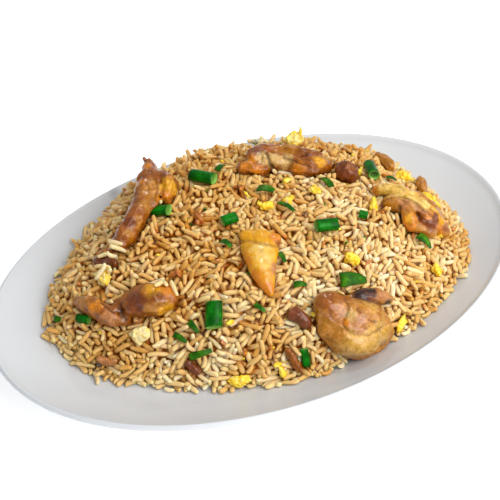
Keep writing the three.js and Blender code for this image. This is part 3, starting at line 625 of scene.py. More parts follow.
CHICKEN_PIECES = {
    "chicken_drumette": dict(
        along=(1, -0.6, -0.3), base="tan", rough=0.35, rounded=110, seed=1,
        lumps=[
            (-3, -60, 38, 9.5), (6, -69, 33, 12), (0, -73, 26, 13), (13, -63, 37, 5.5), (18, -65, 36.5, 5),
            (23, -67, 34, 4.5),
        ],
        zones=[
            # The two cream zones low at the front are pale skin, made lighter as painted light where the
            # downward face is in shade
            ("cream", -3, -79, 29, 11), ("cream", 8, -80, 27, 9), ("tan", -12, -66, 32, 7),
            ("tan", -8, -72, 31, 5), ("pink", -6, -67, 39, 5), ("brown", -3, -57, 40, 9),
            ("brown", -7, -61, 42, 5), ("orange", 1, -60, 42, 3), ("brown", 3, -60, 41, 5),
            ("pink", 0, -75, 36, 5.5), ("milky", -1, -71, 38, 3), ("cream", 10, -70, 36, 5),
            ("cream", 8, -73, 35, 3), ("orange", -5, -71, 36, 2.2), ("orange", 15, -67, 36, 3),
            # The dark zones are the real dark brown end of the bone, deepened as painted shade in its hollows
            ("plum", 14, -64, 41, 8), ("dark", 11, -63, 41, 4), ("dark", 17, -64, 41, 4.5),
            ("pink", 22, -67, 37, 4), ("dark", 23, -69, 33, 2.2),
        ],
        creases=[
            (0.8, 0.6, [
                (1, -64, 42), (0, -68, 39), (-3, -70, 38), (-6, -70, 36), (-6, -72, 34), (-5, -76, 33),
                (-1, -78, 31), (1, -80, 31), (7, -79, 30), (12, -78, 29),
            ]),
            (0.5, 0.6, [(-8, -64, 40), (-9, -65, 38), (-8, -67, 36), (-6, -70, 35)]),
            (0.9, 0.5, [(3, -70, 39), (3, -72, 38)]),
            (1.0, 0.5, [(5, -75, 35), (8, -76, 33)]),
            (1.2, 1.0, [(7, -62, 40), (10, -66, 39), (14, -68, 36), (20, -69, 32)]),
        ],
    ),
    "chicken_wing": dict(
        along=(-0.75, -0.65, -0.2), base="brown", seed=2,
        zones=[
            ("tan", -34, 46, 58, 8), ("fat", -26, 43, 58, 6), ("orange", -31, 40, 55, 4),
            ("orange", -36, 53, 58, 3), ("tan", -43, 38, 56, 5), ("brown", -48, 35, 54, 5),
            ("tan", -52, 32, 53, 4), ("plum", -56, 34, 54, 4), ("tan", -59, 29, 50, 4),
            ("brown", -63, 29, 48, 4), ("plum", -68, 31, 45, 5), ("orange", -27, 62, 60, 3),
        ],
        creases=[(0.8, 0.9, [(-28, 51, 59), (-31, 46, 56), (-36, 41, 54)])],
        lumps=[(-32, 47, 55, 5), (-37, 42, 53, 5), (-33, 54, 57, 4)],
    ),
    "chicken_thigh": dict(
        along=(0.6, -0.75, 0.2), base="brown", seed=3,
        zones=[
            ("fat", -69, -8, 46, 6), ("orange", -63, -11, 44, 5), ("plum", -78, -7, 41, 6),
            ("plum", -70, -12, 43, 4), ("tan", -72, -16, 40, 5), ("fat", -68, -16, 37, 5),
            ("tan", -75, -12, 40, 3), ("orange", -92, 8, 37, 5), ("pink", -91, -1, 34, 5),
            ("tan", -94, 17, 34, 5), ("pink", -88, -5, 32, 5),
        ],
        creases=[
            (1.3, 0.8, [(-88, 9, 36), (-88, 3, 36), (-87, 0, 35)]),
            (1.4, 1.5, [(-83, 1, 39), (-84, -1, 35), (-84, -5, 32)]),
        ],
    ),
    "chicken_skin": dict(
        along=(-0.4, -0.9, -0.3), base="fat", material=yellow_skin, rough=0.3, rounded=90, seed=4,
        zones=[
            ("orange", -25, -21, 49, 5), ("orange", -27, -32, 46, 6), ("pale", -17, -23, 54, 6),
            ("pale", -20, -28, 53, 5), ("orange", -6, -19, 54, 4), ("brown", -6, -22, 51, 3),
            ("pink", -16, -33, 48, 4), ("orange", -25, -38, 44, 4),
        ],
        creases=[(0.6, 1.2, [(-19, -10, 52), (-16, -17, 54), (-12, -22, 54), (-8, -24, 52)])],
    ),
    "chicken_top": dict(
        along=(0.75, -0.65, 0), base="brown", rough=0.8, seed=5,
        zones=[
            ("tan", 41, 34, 58, 6), ("plum", 27, 40, 58, 4), ("orange", 20, 38, 56, 5.5),
            ("orange", 21, 33, 53, 4), ("milky", 28, 36, 56, 4), ("milky", 31, 32, 57, 5),
            ("milky", 35, 27, 57, 5), ("brown", 43, 21, 59, 4.5), ("orange", 38, 20, 56, 5),
            ("plum", 46, 24, 59, 3), ("fat", 50, 16, 57, 4),
        ],
        creases=[
            (1.2, 0.9, [(31, 37, 58), (29, 31, 55), (32, 31, 50)]),
            (1.1, 0.9, [(36, 29, 58), (39, 22, 58), (42, 16, 57)]),
        ],
    ),
    "chicken_arch": dict(
        along=(0.6, -0.7, -0.2), base="tan", rough=0.6, rounded=12, seed=6,
        lumps=[(67.5, -40, 41, 5.5), (72, -44, 38.5, 5.5)],
        zones=[
            ("pale", 66, -19, 53, 6), ("pale", 69, -25, 54, 6), ("pale", 72, -31, 53, 5.5),
            ("pale", 75, -37, 50, 4.5), ("fat", 79, -42, 45, 4), ("fat", 82, -45, 40, 4),
            ("orange", 61, -13, 51, 3), ("tan", 60, -24, 48, 5), ("tan", 64, -28, 49, 4),
            ("pink", 67, -32, 50, 3.5), ("tan", 69, -36, 48, 4), ("brown", 71, -40, 45, 5),
            ("brown", 75, -43, 43, 5), ("orange", 62, -40, 45, 5.5), ("fat", 63, -39, 47, 2.5),
            ("plum", 74, -43, 41, 5), ("plum", 70, -42, 40, 3), ("orange", 75, -41, 45, 2.5),
            ("orange", 79, -46, 37, 3.5), ("brown", 83, -47, 37, 3), ("plum", 79, -42, 44, 1.6),
            # This dark zone is painted shade in the hollow under the deep crease
            ("dark", 63, -32, 44, 2.5),
        ],
        creases=[
            (0.9, 0.6, [
                (59, -21, 48), (60, -22, 49), (64, -25, 52), (67, -28, 53), (70, -33, 52), (73, -39, 48),
                (77, -43, 44),
            ]),
            (0.45, 0.5, [
                (62, -14, 53), (64, -15, 54), (67, -19, 56), (70, -24, 55), (72, -31, 54), (75, -37, 51),
                (79, -42, 46),
            ]),
            (1.6, 1.2, [(65, -30, 47), (63, -34, 43)]),
            (1.2, 1.0, [(70, -38, 46), (71, -39, 40), (66, -41, 38)]),
        ],
    ),
    "chicken_cube": dict(
        along=(0.5, -0.8, 0), base="plum", seed=7, zones=[("brown", 62, 6, 55, 4)],
        creases=[(0.7, 0.7, [(55, 8, 58), (61, 8, 58), (66, 4, 55)])],
    ),
    "chicken_right_rear": dict(along=(0, -1, 0), base="tan", seed=8, zones=[("orange", 88, 12, 44, 3)]),
    "chicken_right_end": dict(along=(0, -1, 0), base="tan", seed=9),
    "chicken_front_small": dict(along=(0.4, -0.9, 0), base="plum", seed=10),
    "chicken_left_small": dict(along=(0.3, -1, 0), base="plum", seed=11),
    "chicken_front_bit": dict(along=(0.4, -0.9, 0), base="brown", seed=12),
    "chicken_left_bit": dict(along=(0.5, -0.8, 0), base="pink", seed=13),
    "chicken_low_bit": dict(along=(0.5, -0.8, 0), base="plum", seed=14),
    "chicken_back_long": dict(along=(1, -0.2, 0), base="tan", seed=15),
    "chicken_back_round": dict(along=(0.6, -0.7, 0), base="brown", seed=16),
}
toppings = [torn_meat(node, **looks) for node, looks in CHICKEN_PIECES.items()]


# %% [markdown]
# Scrambled egg sets in soft curds: opaque yellow yolk with paler white folded in, torn into ragged lumps with
# pits and small holes. Each packed curd is covered with smaller balls before the remesh, which gives it its
# broken outline, and noise then folds its surface. It is dull, and only slightly wet.

# %% Material: scrambled egg
def scrambled_egg():
    material, shader = new_material("scrambled egg", {
        "Roughness": 0.42, "IOR": 1.4, "Subsurface Weight": 0.25, "Subsurface Radius": (1, 0.7, 0.3),
        "Subsurface Scale": 1.2 * MM,
    })
    place = add_node(material, "TexCoord").outputs["Object"]
    fold = add_node(
        material, "TexNoise",
        {"Vector": place, "Scale": 300, "Detail": 3, "Roughness": 0.55, "Distortion": 1.2},
    )
    white = add_node(material, "Attribute", attribute_name="white")
    whiter = add_node(
        material, "Math", {0: white.outputs["Fac"], 1: 0.3, 2: fold.outputs["Fac"]},
        operation="MULTIPLY_ADD",
    )
    tint = add_node(
        material, "ValToRGB", {"Fac": whiter.outputs[0]},
        stops=[(0.3, "F0B014"), (0.45, "FFD42A"), (0.6, "FCDC58"), (0.82, "F0DCA2")],
    )
    link(material, tint.outputs["Color"], shader.inputs["Base Color"])
    pits = add_node(material, "TexNoise", {"Vector": place, "Scale": 1300, "Detail": 2})
    bump = add_node(
        material, "Bump", {"Height": pits.outputs["Fac"], "Strength": 0.4, "Distance": 0.2 * MM},
    )
    link(material, bump.outputs["Normal"], shader.inputs["Normal"])
    return material


soft_egg = scrambled_egg()

# %% Egg
EGG_VOXEL = 0.4
WHITENESS = {"egg_left": 1.0, "egg_crest": 0.55, "egg_left_rear": 0.6}


def egg_curd(node, seed):
    luck = np.random.default_rng(seed)
    bm = node_bmesh(node)
    corners = [vert.co.copy() for vert in bm.verts]
    middle = sum(corners, Vector()) / len(corners)
    for pick in luck.choice(len(corners), size=min(9, len(corners)), replace=False):
        size = luck.uniform(0.7, 1.5)
        spot = middle.lerp(corners[pick], luck.uniform(0.75, 1.0))
        add_lump(bm, spot, (size * luck.uniform(0.8, 1.6), size, size * 0.8), luck.normal(size=3))
    mesh = remeshed(bm, EGG_VOXEL, 1)
    places, normals = mesh_places(mesh), mesh_normals(mesh)
    folds = np.abs(noise_at(places, 2.4, seed + 5))
    push = 0.7 * noise_at(places, 3.6, seed) - 1.3 * folds + 0.3 * noise_at(places, 1.0, seed + 8)
    paint(mesh, "white", np.full(len(places), WHITENESS.get(node, 0.0)))
    set_places(mesh, (places + normals * push[:, None]) * MM)
    return finish_mesh(f"{node}_curd", mesh, soft_egg, [node])


egg_nodes = sorted(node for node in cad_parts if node.startswith("egg_"))
toppings += [egg_curd(node, seed) for seed, node in enumerate(egg_nodes, 31)]


# %% [markdown]
# A scallion leaf is a tube with a waxy dark green outside, fine ribs along it, and a paler wet inside. Cut
# across it gives short tubes; cut along it gives flat curled blades. The tubes are made from a circle that
# is extruded in steps and given its wall by solidify, the blades from a grid that is bent and thickened.

# %% Material: scallion leaf
def scallion_leaf(name, darker, middle, lighter):
    material, shader = new_material(name, {
        "Roughness": 0.28, "IOR": 1.35, "Specular IOR Level": 0.25, "Subsurface Weight": 0.06,
        "Subsurface Radius": (0.4, 1, 0.2), "Subsurface Scale": 0.8 * MM,
    })
    ribs = add_node(material, "Attribute", attribute_name="round")
    inner = add_node(material, "Attribute", attribute_name="inner")
    place = add_node(material, "TexCoord").outputs["Object"]
    cloud = add_node(material, "TexNoise", {"Vector": place, "Scale": 210, "Detail": 3})
    tint = add_node(
        material, "ValToRGB", {"Fac": cloud.outputs["Fac"]},
        stops=[(0.34, darker), (0.52, middle), (0.7, lighter)],
    )
    wave = add_node(
        material, "TexNoise", {"W": ribs.outputs["Fac"], "Scale": 26, "Detail": 1},
        noise_dimensions="1D",
    )
    rib = add_node(
        material, "MapRange",
        {"Value": wave.outputs["Fac"], "From Min": 0.35, "From Max": 0.65, "To Min": 0.65, "To Max": 1.4},
    )
    ribbed = add_node(material, "HueSaturation", {"Value": rib.outputs[0], "Color": tint.outputs["Color"]})
    body = add_node(
        material, "Mix",
        {"Factor": inner.outputs["Fac"], 6: ribbed.outputs["Color"], 7: linear("8CBF55")}, data_type="RGBA",
    )
    link(material, body.outputs[2], shader.inputs["Base Color"])
    bump = add_node(
        material, "Bump", {"Height": wave.outputs["Fac"], "Strength": 0.35, "Distance": 0.2 * MM},
    )
    link(material, bump.outputs["Normal"], shader.inputs["Normal"])
    return material


green_stalk = scallion_leaf("scallion stalk, waxy outside", "014401", "025A02", "0E7C0C")
fresh_leaf = scallion_leaf("fresh scallion leaf, cut open", "144A02", "285E02", "4A820C")

# %% Scallions
STALK_WALL, BLADE_THICKNESS = 0.55, 0.5
STALKS = {
    "scallion_rear_long": ((-7, 51, 2.4), (-1, 39, 2.4), 7.2, 6),
    "scallion_beside_wing": ((-38, 40, 2), (-33, 33, 2.6), 6.4, 5),
    "scallion_upper": ((-18, 8, 1.6), (-11, 6, 2.6), 5.8, 5),
    "scallion_centre": ((17, -22, 2.4), (27, -26, 2.4), 6.8, 6),
    "scallion_right_rear": ((79, 10, 2.2), (73, -1, 2.6), 6.2, 5.4),
    "scallion_front_big": ((-48, -27, 2.4), (-54, -35, 2.8), 8.2, 6.6),
    "scallion_right_ring": ((43, -24, 1), (46, -27, 1.2), 4.4, 4),
    "scallion_low_ring": ((-23, -64, 1), (-24, -68, 1), 4, 3.6),
    "scallion_left_ring": ((-98, 16, 1), (-95, 10, 1), 4.4, 3.6),
    "scallion_back_a": ((56, 80, 0.8), (64, 76, 0.8), 5.6, 4.6),
    "scallion_back_b": ((11, 94, 1), (19, 93.5, 1), 5.2, 4.4),
    "scallion_back_c": ((109.5, 44, 0.6), (105.5, 50, 0.6), 5, 4.2),
}
BLADES = {
    "scallion_square": ((12, 19, 2), (17, 12, 2), 5.4, 1.2, 0.3),
    "scallion_strip": ((45, 8, 2), (44, -1, 2), 3.6, 1.2, 0.1),
    "scallion_rear_leaf": ((5, 45, 2), (11, 47, 2), 3.4, 1.2, 0.5),
    "scallion_wedge": ((64, -46, 2), (66, -53, 2), 5.6, 1.2, 0.8),
    "scallion_leaf": ((8, -52, 2.6), (20, -57, 2.6), 7.4, 2, 0.6),
    "scallion_front_long": ((-68, -35, 2), (-59, -40, 2), 3.2, 1.2, 0.4),
    "scallion_light_strip": ((13, 3, 2), (15, -7, 2), 2.4, 1.2, 0.2),
    "scallion_front_leaf": ((-13, -43, 2), (-8, -46, 2), 3, 1.2, 0.5),
    "scallion_chip": ((-26, -3, 2), (-25, -9, 2), 3, 1.2, 0.3),
    "scallion_edge_leaf": ((-104, 29, 2), (-103, 24, 2), 3, 1.2, 0.3),
    "scallion_back_leaf": ((70, 76, 1.4), (76, 73, 1.4), 4, 1.2, 0.5),
}
CHIPS = (
    ((81, -2, 1), (85, -5, 1), 2.8),
    ((-61, -25, 1), (-60, -31, 1), 2.8),
    ((-69, -24, 1), (-66, -30, 1), 2.8),
    ((-33, -39, 1), (-31, -44, 1), 2.4),
    ((-8, -25, 1), (-9, -31, 1), 2.4),
)


def lay_between(bm, start, end, up):
    """Turns a shape drawn along +Z from the origin so that it runs from start to end."""
    along = (end - start).normalized()
    across = up.cross(along).normalized()
    square = along.cross(across)
    turn = Matrix((across, square, along)).transposed().to_4x4()
    bmesh.ops.transform(bm, matrix=Matrix.Translation(start) @ turn, verts=bm.verts)


def cut_stalk(node, size, seed):
    first, second, width, height = size
    start, end = on_heap(*first), on_heap(*second)
    length = (end - start).length
    rings, sides = 9, 28
    bm = bmesh.new()
    bmesh.ops.create_circle(bm, cap_ends=False, segments=sides, radius=1)
    bmesh.ops.scale(bm, vec=(width / 2, height / 2, 1), verts=bm.verts)
    turning = bm.verts.layers.float.new("round")
    for vert in bm.verts:
        vert[turning] = math.atan2(vert.co.y, vert.co.x) / math.pi
    edges = bm.edges[:]
    for _ in range(rings - 1):
        made = bmesh.ops.extrude_edge_only(bm, edges=edges)["geom"]
        edges = [part for part in made if isinstance(part, bmesh.types.BMEdge)]
        moved = [part for part in made if isinstance(part, bmesh.types.BMVert)]
        bmesh.ops.translate(bm, vec=(0, 0, length / (rings - 1)), verts=moved)
    slant = 0.12 * math.sin(seed * 2.1)
    for vert in bm.verts:
        squeeze = 1 + 0.05 * noise.noise(Vector(vert.co) * 0.3 + Vector((seed, 0, 0)))
        vert.co.x *= squeeze
        vert.co.y *= 2 - squeeze
        vert.co.z += slant * vert.co.x
    bmesh.ops.recalc_face_normals(bm, faces=bm.faces)
    middle = Vector((0, 0, length / 2))
    if sum((face.calc_center_median() - middle).dot(face.normal) for face in bm.faces) < 0:
        bmesh.ops.reverse_faces(bm, faces=bm.faces)
    bmesh.ops.solidify(bm, geom=bm.faces[:], thickness=STALK_WALL)
    inside = bm.verts.layers.float.new("inner")
    for vert in bm.verts:
        reach = math.hypot(vert.co.x / (width / 2), vert.co.y / (height / 2))
        vert[inside] = 1 if reach < 1 - STALK_WALL / width else 0
    lay_between(bm, start, end, heap_normal(first[0], first[1]))
    return finish_bmesh(f"{node}_cut", bm, green_stalk, [node])


def blade_bmesh(first, second, width, curl, taper):
    start, end = on_heap(*first), on_heap(*second)
    length = (end - start).length
    bm = bmesh.new()
    bmesh.ops.create_grid(bm, x_segments=8, y_segments=14, size=1)
    turning = bm.verts.layers.float.new("round")
    bm.verts.layers.float.new("inner")
    for vert in bm.verts:
        across, share = vert.co.x, (vert.co.y + 1) / 2
        half = (width / 2) * (1 - taper * share ** 2)
        vert[turning] = across * 0.6
        bend = curl * math.sin(math.pi * share) - curl * (across * half / width) ** 2
        ripple = 0.18 * noise.noise(Vector((across * 1.5, share * 4, width)))
        vert.co = (across * half, bend + ripple, share * length)
    bmesh.ops.recalc_face_normals(bm, faces=bm.faces)
    bmesh.ops.solidify(bm, geom=bm.faces[:], thickness=BLADE_THICKNESS)
    lay_between(bm, start, end, heap_normal(first[0], first[1]))
    return bm


for number, (node, size) in enumerate(STALKS.items()):
    toppings.append(cut_stalk(node, size, number))
for node, size in BLADES.items():
    toppings.append(finish_bmesh(f"{node}_cut", blade_bmesh(*size), fresh_leaf, [node]))

chips = bmesh.new()
for first, second, width in CHIPS:
    scrap = bpy.data.meshes.new("scrap")
    blade_bmesh(first, second, width, 0.8, 0.4).to_mesh(scrap)
    chips.from_mesh(scrap)
    bpy.data.meshes.remove(scrap)
toppings.append(finish_bmesh("scallion_chips", chips, fresh_leaf, ["rice"]))


# %% [markdown]
# The rice is laid grain by grain, where it is free to lie. A physics engine would do it too, but thousands of
# touching grains take it many minutes. First the heap's surface is spread out on a map, like a globe on a
# flat sheet, with half a millimetre to a cell. Each cell knows its place, its normal and two directions along
# the surface, so that the steep sides are covered as well as the flat top.

# %% A map of the heap's surface
CELL = 0.5
MAP_HALF = (138, 108)
MAP_ANGLES = 720
MAP_SHARES = 500


class Surface:
    """A grid of places with their normals, areas and two directions along the surface."""

    def __init__(self, corner, places):
        self.corner = corner
        self.places = places
        step_p = np.gradient(places, CELL, axis=0)
        step_q = np.gradient(places, CELL, axis=1)
        normals = np.cross(step_p, step_q)
        self.areas = np.linalg.norm(normals, axis=2)
        self.normals = normals / self.areas[..., None]
        self.first = step_p / np.linalg.norm(step_p, axis=2, keepdims=True)
        self.second = np.cross(self.normals, self.first)

    def cell(self, p, q):
        i = np.clip(np.rint((p - self.corner[0]) / CELL).astype(int), 0, self.places.shape[0] - 1)
        j = np.clip(np.rint((q - self.corner[1]) / CELL).astype(int), 0, self.places.shape[1] - 1)
        return i, j


def heap_radius(azimuth):
    """Distance from the heap's middle to its edge in a direction seen from above."""
    turn = np.arctan2(np.sin(azimuth) / HEAP_HALF[1], np.cos(azimuth) / HEAP_HALF[0])
    spread = np.hypot(HEAP_HALF[0] * np.cos(turn), HEAP_HALF[1] * np.sin(turn))
    return outline_scale(turn) * spread


def surface_tables():
    """For each direction, the length of the surface out to the edge, and the shares that divide it evenly."""
    azimuths = np.linspace(-math.pi, math.pi, MAP_ANGLES + 1)
    shares = np.linspace(0, 1, MAP_SHARES) ** 0.6
    radius = heap_radius(azimuths)[:, None] * shares[None, :]
    x = HEAP_CENTRE[0] + radius * np.cos(azimuths)[:, None]
    y = HEAP_CENTRE[1] + radius * np.sin(azimuths)[:, None]
    z = heap_height(x, y)
    steps = np.hypot(np.diff(radius, axis=1), np.diff(z, axis=1))
    run = np.concatenate([np.zeros((len(azimuths), 1)), np.cumsum(steps, axis=1)], axis=1)
    even = np.linspace(0, 1, MAP_SHARES)
    table = np.array([np.interp(even * row[-1], row, shares) for row in run])
    return azimuths, run[:, -1], table


def surface_places(p, q):
    """Places on the bare heap for places on the map, and how far each is from the edge, on the map."""
    azimuths, lengths, table = surface_tables()
    azimuth, run = np.arctan2(q, p), np.hypot(p, q)
    length = np.interp(azimuth, azimuths, lengths)
    row = (azimuth + math.pi) / (2 * math.pi) * MAP_ANGLES
    column = np.clip(run / length, 0, 1) * (MAP_SHARES - 1)
    i, j = np.minimum(row.astype(int), MAP_ANGLES - 1), np.minimum(column.astype(int), MAP_SHARES - 2)
    a, b = row - i, column - j
    share = (
        table[i, j] * (1 - a) * (1 - b) + table[i + 1, j] * a * (1 - b)
        + table[i, j + 1] * (1 - a) * b + table[i + 1, j + 1] * a * b
    )
    beyond = np.maximum(run - length, 0)
    radius = heap_radius(azimuth) * share + beyond
    x = HEAP_CENTRE[0] + radius * np.cos(azimuth)
    y = HEAP_CENTRE[1] + radius * np.sin(azimuth)
    return np.stack([x, y, heap_height(x, y)], axis=-1), length - run


LAYER = 4.3
map_p, map_q = np.meshgrid(
    np.arange(-MAP_HALF[0], MAP_HALF[0], CELL), np.arange(-MAP_HALF[1], MAP_HALF[1], CELL), indexing="ij",
)
heap_places, from_edge = surface_places(map_p, map_q)
heap = Surface((-MAP_HALF[0], -MAP_HALF[1]), heap_places)
heap_area = heap.areas[from_edge > 0].sum() * CELL ** 2
print("the heap's surface in cm2:", round(float(heap_area) / 100))

# %% [markdown]
# Grains can't pass through each other, but wet ones press together. Each is treated as a rod, and the middle
# lines of two rods come no closer than a little over half of a grain's width. Space is divided into small
# cubes. A cube is full when the middle line of a grain can't pass through it, because it is too near to the
# plate, a topping or another grain. Then thousands of grains are tried at once, and those whose whole line is
# free are laid.

# %% Room for grains
GRAIN_LENGTH, GRAIN_WIDTH, GRAIN_DEPTH = 9.7, 2.9, 2.55
CUBE = 0.6
ROOM_LOW = np.array((-118.0, -88.0, 0.0))
ROOM_HIGH = np.array((137.0, 107.0, 66.0))
# Shares of a grain's width: how far apart two lines stay, and how far a line stops short of the grain's end
PRESSED, ROUND_END = 0.57, 0.4
TOUCHING = 1.2
RICE_REACH = 14

full = np.zeros(np.ceil((ROOM_HIGH - ROOM_LOW) / CUBE).astype(int), dtype=bool)
cube_x, cube_y, cube_z = (ROOM_LOW[k] + (np.arange(full.shape[k]) + 0.5) * CUBE for k in range(3))
column_x, column_y = np.meshgrid(cube_x, cube_y, indexing="ij")
full |= cube_z[None, None, :] < (plate_height(column_x, column_y) + TOUCHING)[:, :, None]
column_heap = heap_height(column_x, column_y)


def cube_of(places):
    index = np.clip(((places - ROOM_LOW) / CUBE).astype(int), 0, np.array(full.shape) - 1)
    return index[..., 0], index[..., 1], index[..., 2]


def keep_clear(piece):
    """Fills the cubes inside a topping and those next to it, as far up as rice can be."""
    places = mesh_places(piece.data) / MM
    tree = BVHTree.FromPolygons(places.tolist(), [list(face.vertices) for face in piece.data.polygons])
    low = cube_of(places.min(axis=0) - TOUCHING)
    high = cube_of(places.max(axis=0) + TOUCHING)
    for i in range(low[0], high[0] + 1):
        for j in range(low[1], high[1] + 1):
            for k in range(low[2], high[2] + 1):
                if full[i, j, k] or abs(cube_z[k] - column_heap[i, j]) > RICE_REACH:
                    continue
                spot = Vector((cube_x[i], cube_y[j], cube_z[k]))
                nearest, normal, _, distance = tree.find_nearest(spot)
                if distance < TOUCHING or (spot - nearest).dot(normal) < -0.5 * distance:
                    full[i, j, k] = True


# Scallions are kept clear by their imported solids, whose corners come in the same order in every run. Those of
# a thickened piece don't, which would settle ties between its faces another way and lay other grains.
obstacles = toppings[:len(CHICKEN_PIECES) + len(egg_nodes)]
obstacles += [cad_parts[node] for node in (*STALKS, *BLADES)]
for piece in obstacles:
    keep_clear(piece)
print("cubes filled by the plate and toppings:", int(full.sum()))

# %% Laying grains
rng = np.random.default_rng(7)
BATCH = 3000
LINE_STEPS = np.linspace(-1, 1, 9)
SPAN = 11
block = np.stack(np.meshgrid(*[np.arange(-SPAN, SPAN + 1)] * 3, indexing="ij"), axis=-1) * CUBE
block = block.astype(np.float32)


def fill_line(centre, direction, half_line, apart):
    """Fills the cubes nearer to a grain's line than a pressed neighbour's can be."""
    at = np.array(cube_of(centre))
    middle = ROOM_LOW + (at + 0.5) * CUBE - centre
    offset = block + middle.astype(np.float32)
    t = np.clip(offset @ direction.astype(np.float32), -half_line, half_line)
    gap = offset - t[..., None] * direction.astype(np.float32)
    near_line = (gap ** 2).sum(axis=-1) < apart ** 2
    low = np.maximum(at - SPAN, 0)
    high = np.minimum(at + SPAN + 1, full.shape)
    cut = tuple(slice(low[k] - at[k] + SPAN, high[k] - at[k] + SPAN) for k in range(3))
    full[low[0]:high[0], low[1]:high[1], low[2]:high[2]] |= near_line[cut]


CHIP_ROOM = 2.0
for first, second, _ in CHIPS:
    start, end = np.array(on_heap(*first)), np.array(on_heap(*second))
    length = np.linalg.norm(end - start)
    fill_line((start + end) / 2, (end - start) / length, length / 2, CHIP_ROOM)


def grain_sizes(count, shorten):
    whole = rng.random(count) > 0.22
    length = np.where(whole, rng.normal(1, 0.1, count), rng.uniform(0.5, 0.8, count)) * GRAIN_LENGTH * shorten
    width, depth = rng.normal(1, 0.08, count) * GRAIN_WIDTH, rng.normal(1, 0.08, count) * GRAIN_DEPTH
    return np.stack([np.maximum(length, width * 1.15), width, depth], axis=1)


def lay_grains(
    surface, cells, top, low, high, rounds, tilt=0.3, spill=0.6, stuck=0.3, shorten=1.0, most=9000,
):
    """Lays grains whose middles are between low and high, measured from the top height of their cell.

    Tilt is the usual slope out of the surface, spill how far an end may stand above the top, and stuck the
    part of the grains that lie the way of their neighbourhood.
    """
    laid = []
    share = np.cumsum(surface.areas[cells[:, 0], cells[:, 1]])
    for _ in range(rounds):
        i, j = cells[np.searchsorted(share, rng.random(BATCH) * share[-1])].T
        size = grain_sizes(BATCH, shorten)
        heading = rng.uniform(-math.pi, math.pi, BATCH)
        like_others = rng.random(BATCH) < stuck
        heading = np.where(like_others, neighbourhood[i, j] + rng.normal(0, 0.3, BATCH), heading)
        slope = rng.normal(0, tilt, BATCH)
        height = top[i, j] + rng.uniform(low, high, BATCH)
        centre = surface.places[i, j] + height[:, None] * surface.normals[i, j]
        first, second = surface.first[i, j], surface.second[i, j]
        along = np.cos(heading)[:, None] * first + np.sin(heading)[:, None] * second
        direction = np.cos(slope)[:, None] * along + np.sin(slope)[:, None] * surface.normals[i, j]
        half_line = size[:, 0] / 2 - size[:, 1] * ROUND_END
        lines = centre[:, None] + (LINE_STEPS[:, None] * half_line[:, None, None]) * direction[:, None]
        stands_out = height + np.abs(np.sin(slope)) * half_line > top[i, j] + spill
        free = ~full[cube_of(lines)].any(axis=1) & ~stands_out
        for k in np.flatnonzero(free):
            if full[cube_of(lines[k])].any():
                continue
            fill_line(centre[k], direction[k], half_line[k], PRESSED * size[k, 1])
            normal = surface.normals[i[k], j[k]]
            laid.append((centre[k], direction[k], size[k], float(top[i[k], j[k]] - height[k]), normal))
            if len(laid) >= most:
                return laid
    return laid


# %% Laying the rice
def noise_map(grid_p, grid_q, size, seed):
    """Smooth noise over a grid of places, worked out for every fourth cell."""
    rough = np.array([
        [noise.noise(Vector((p / size, q / size, seed))) for q in grid_q[0, ::4]] for p in grid_p[::4, 0]
    ])
    return np.repeat(np.repeat(rough, 4, axis=0), 4, axis=1)[:grid_p.shape[0], :grid_p.shape[1]]


# The camera's right, and the way that it looks, along the table
RIGHTWARDS, AWAY = np.array((0.804, -0.595, 0)), np.array((0.595, 0.804, 0))
GRAINS_ON_TOPPINGS = (
    (-64, -1, 43, 20), (-61, -4, 45, 110), (-64, -6, 46, 60), (-60, -11, 44, 150), (-83, 9, 35, 100),
    (-31, 41, 52, 30), (36, 26, 51, 170), (-70, 28, 46, 70), (-67, 25, 47, 130), (-72, 32, 45, 20),
    (-66, 30, 48, 160), (-80, 21, 42, 20), (-78, 24, 42, 140), (-77, 20, 43, 80), (58, 79, 33, 20),
    (61, 77, 33, 140), (64, 75, 33, 70), (56, 80, 33, 160),
)
# The depth that marks a grain as lying on a topping, clear of the sauce
ON_TOP = -2.0


def lay_on_toppings(pieces):
    """Lays the grains that stick to toppings, each from a place near its own and a turn in degrees."""
    places, faces, start = [], [], 0
    for piece in pieces:
        places.append(mesh_places(piece.data) / MM)
        faces += [[start + corner for corner in face.vertices] for face in piece.data.polygons]
        start += len(places[-1])
    tree = BVHTree.FromPolygons(np.concatenate(places).tolist(), faces)
    laid = []
    for x, y, z, turn in GRAINS_ON_TOPPINGS:
        spot, normal, _, _ = tree.find_nearest(Vector((x, y, z)))
        normal = np.array(normal)
        size = grain_sizes(1, 1.0)[0]
        direction = math.cos(math.radians(turn)) * RIGHTWARDS + math.sin(math.radians(turn)) * AWAY
        direction = direction - (direction @ normal) * normal
        direction /= np.linalg.norm(direction)
        centre = np.array(spot) + normal * size[2] * 0.42
        fill_line(centre, direction, size[0] / 2 - size[1] * ROUND_END, PRESSED * size[1])
        laid.append((centre, direction, size, ON_TOP, normal))
    return laid


neighbourhood = 4 * noise_map(map_p, map_q, 11, 2)
crest = -0.7 + 3.4 * noise_map(map_p, map_q, 8, 3) + 2.4 * noise_map(map_p, map_q, 24, 9)
heap_cells = np.argwhere(from_edge > 1.5)
on_toppings = lay_on_toppings(obstacles)
standing = lay_grains(heap, heap_cells, crest, -3.0, -0.8, 12, tilt=0.9, spill=3.0, stuck=0, most=500)
lying = lay_grains(heap, heap_cells, crest, -2.6, -0.9, 90, tilt=0.45, spill=1.0, stuck=0.45)
between = lay_grains(heap, heap_cells, crest, -4.6, -1.4, 90, tilt=0.6, spill=0.3)
broken = lay_grains(heap, heap_cells, crest, -4.0, -1.0, 50, tilt=0.7, spill=0.2, shorten=0.55)
grains = standing + lying + between + broken
print("grains standing, lying, between, broken:", *(len(k) for k in (standing, lying, between, broken)))

# %% [markdown]
# Round the foot of the heap grains lie on the plate itself, in layers that get narrower upwards.

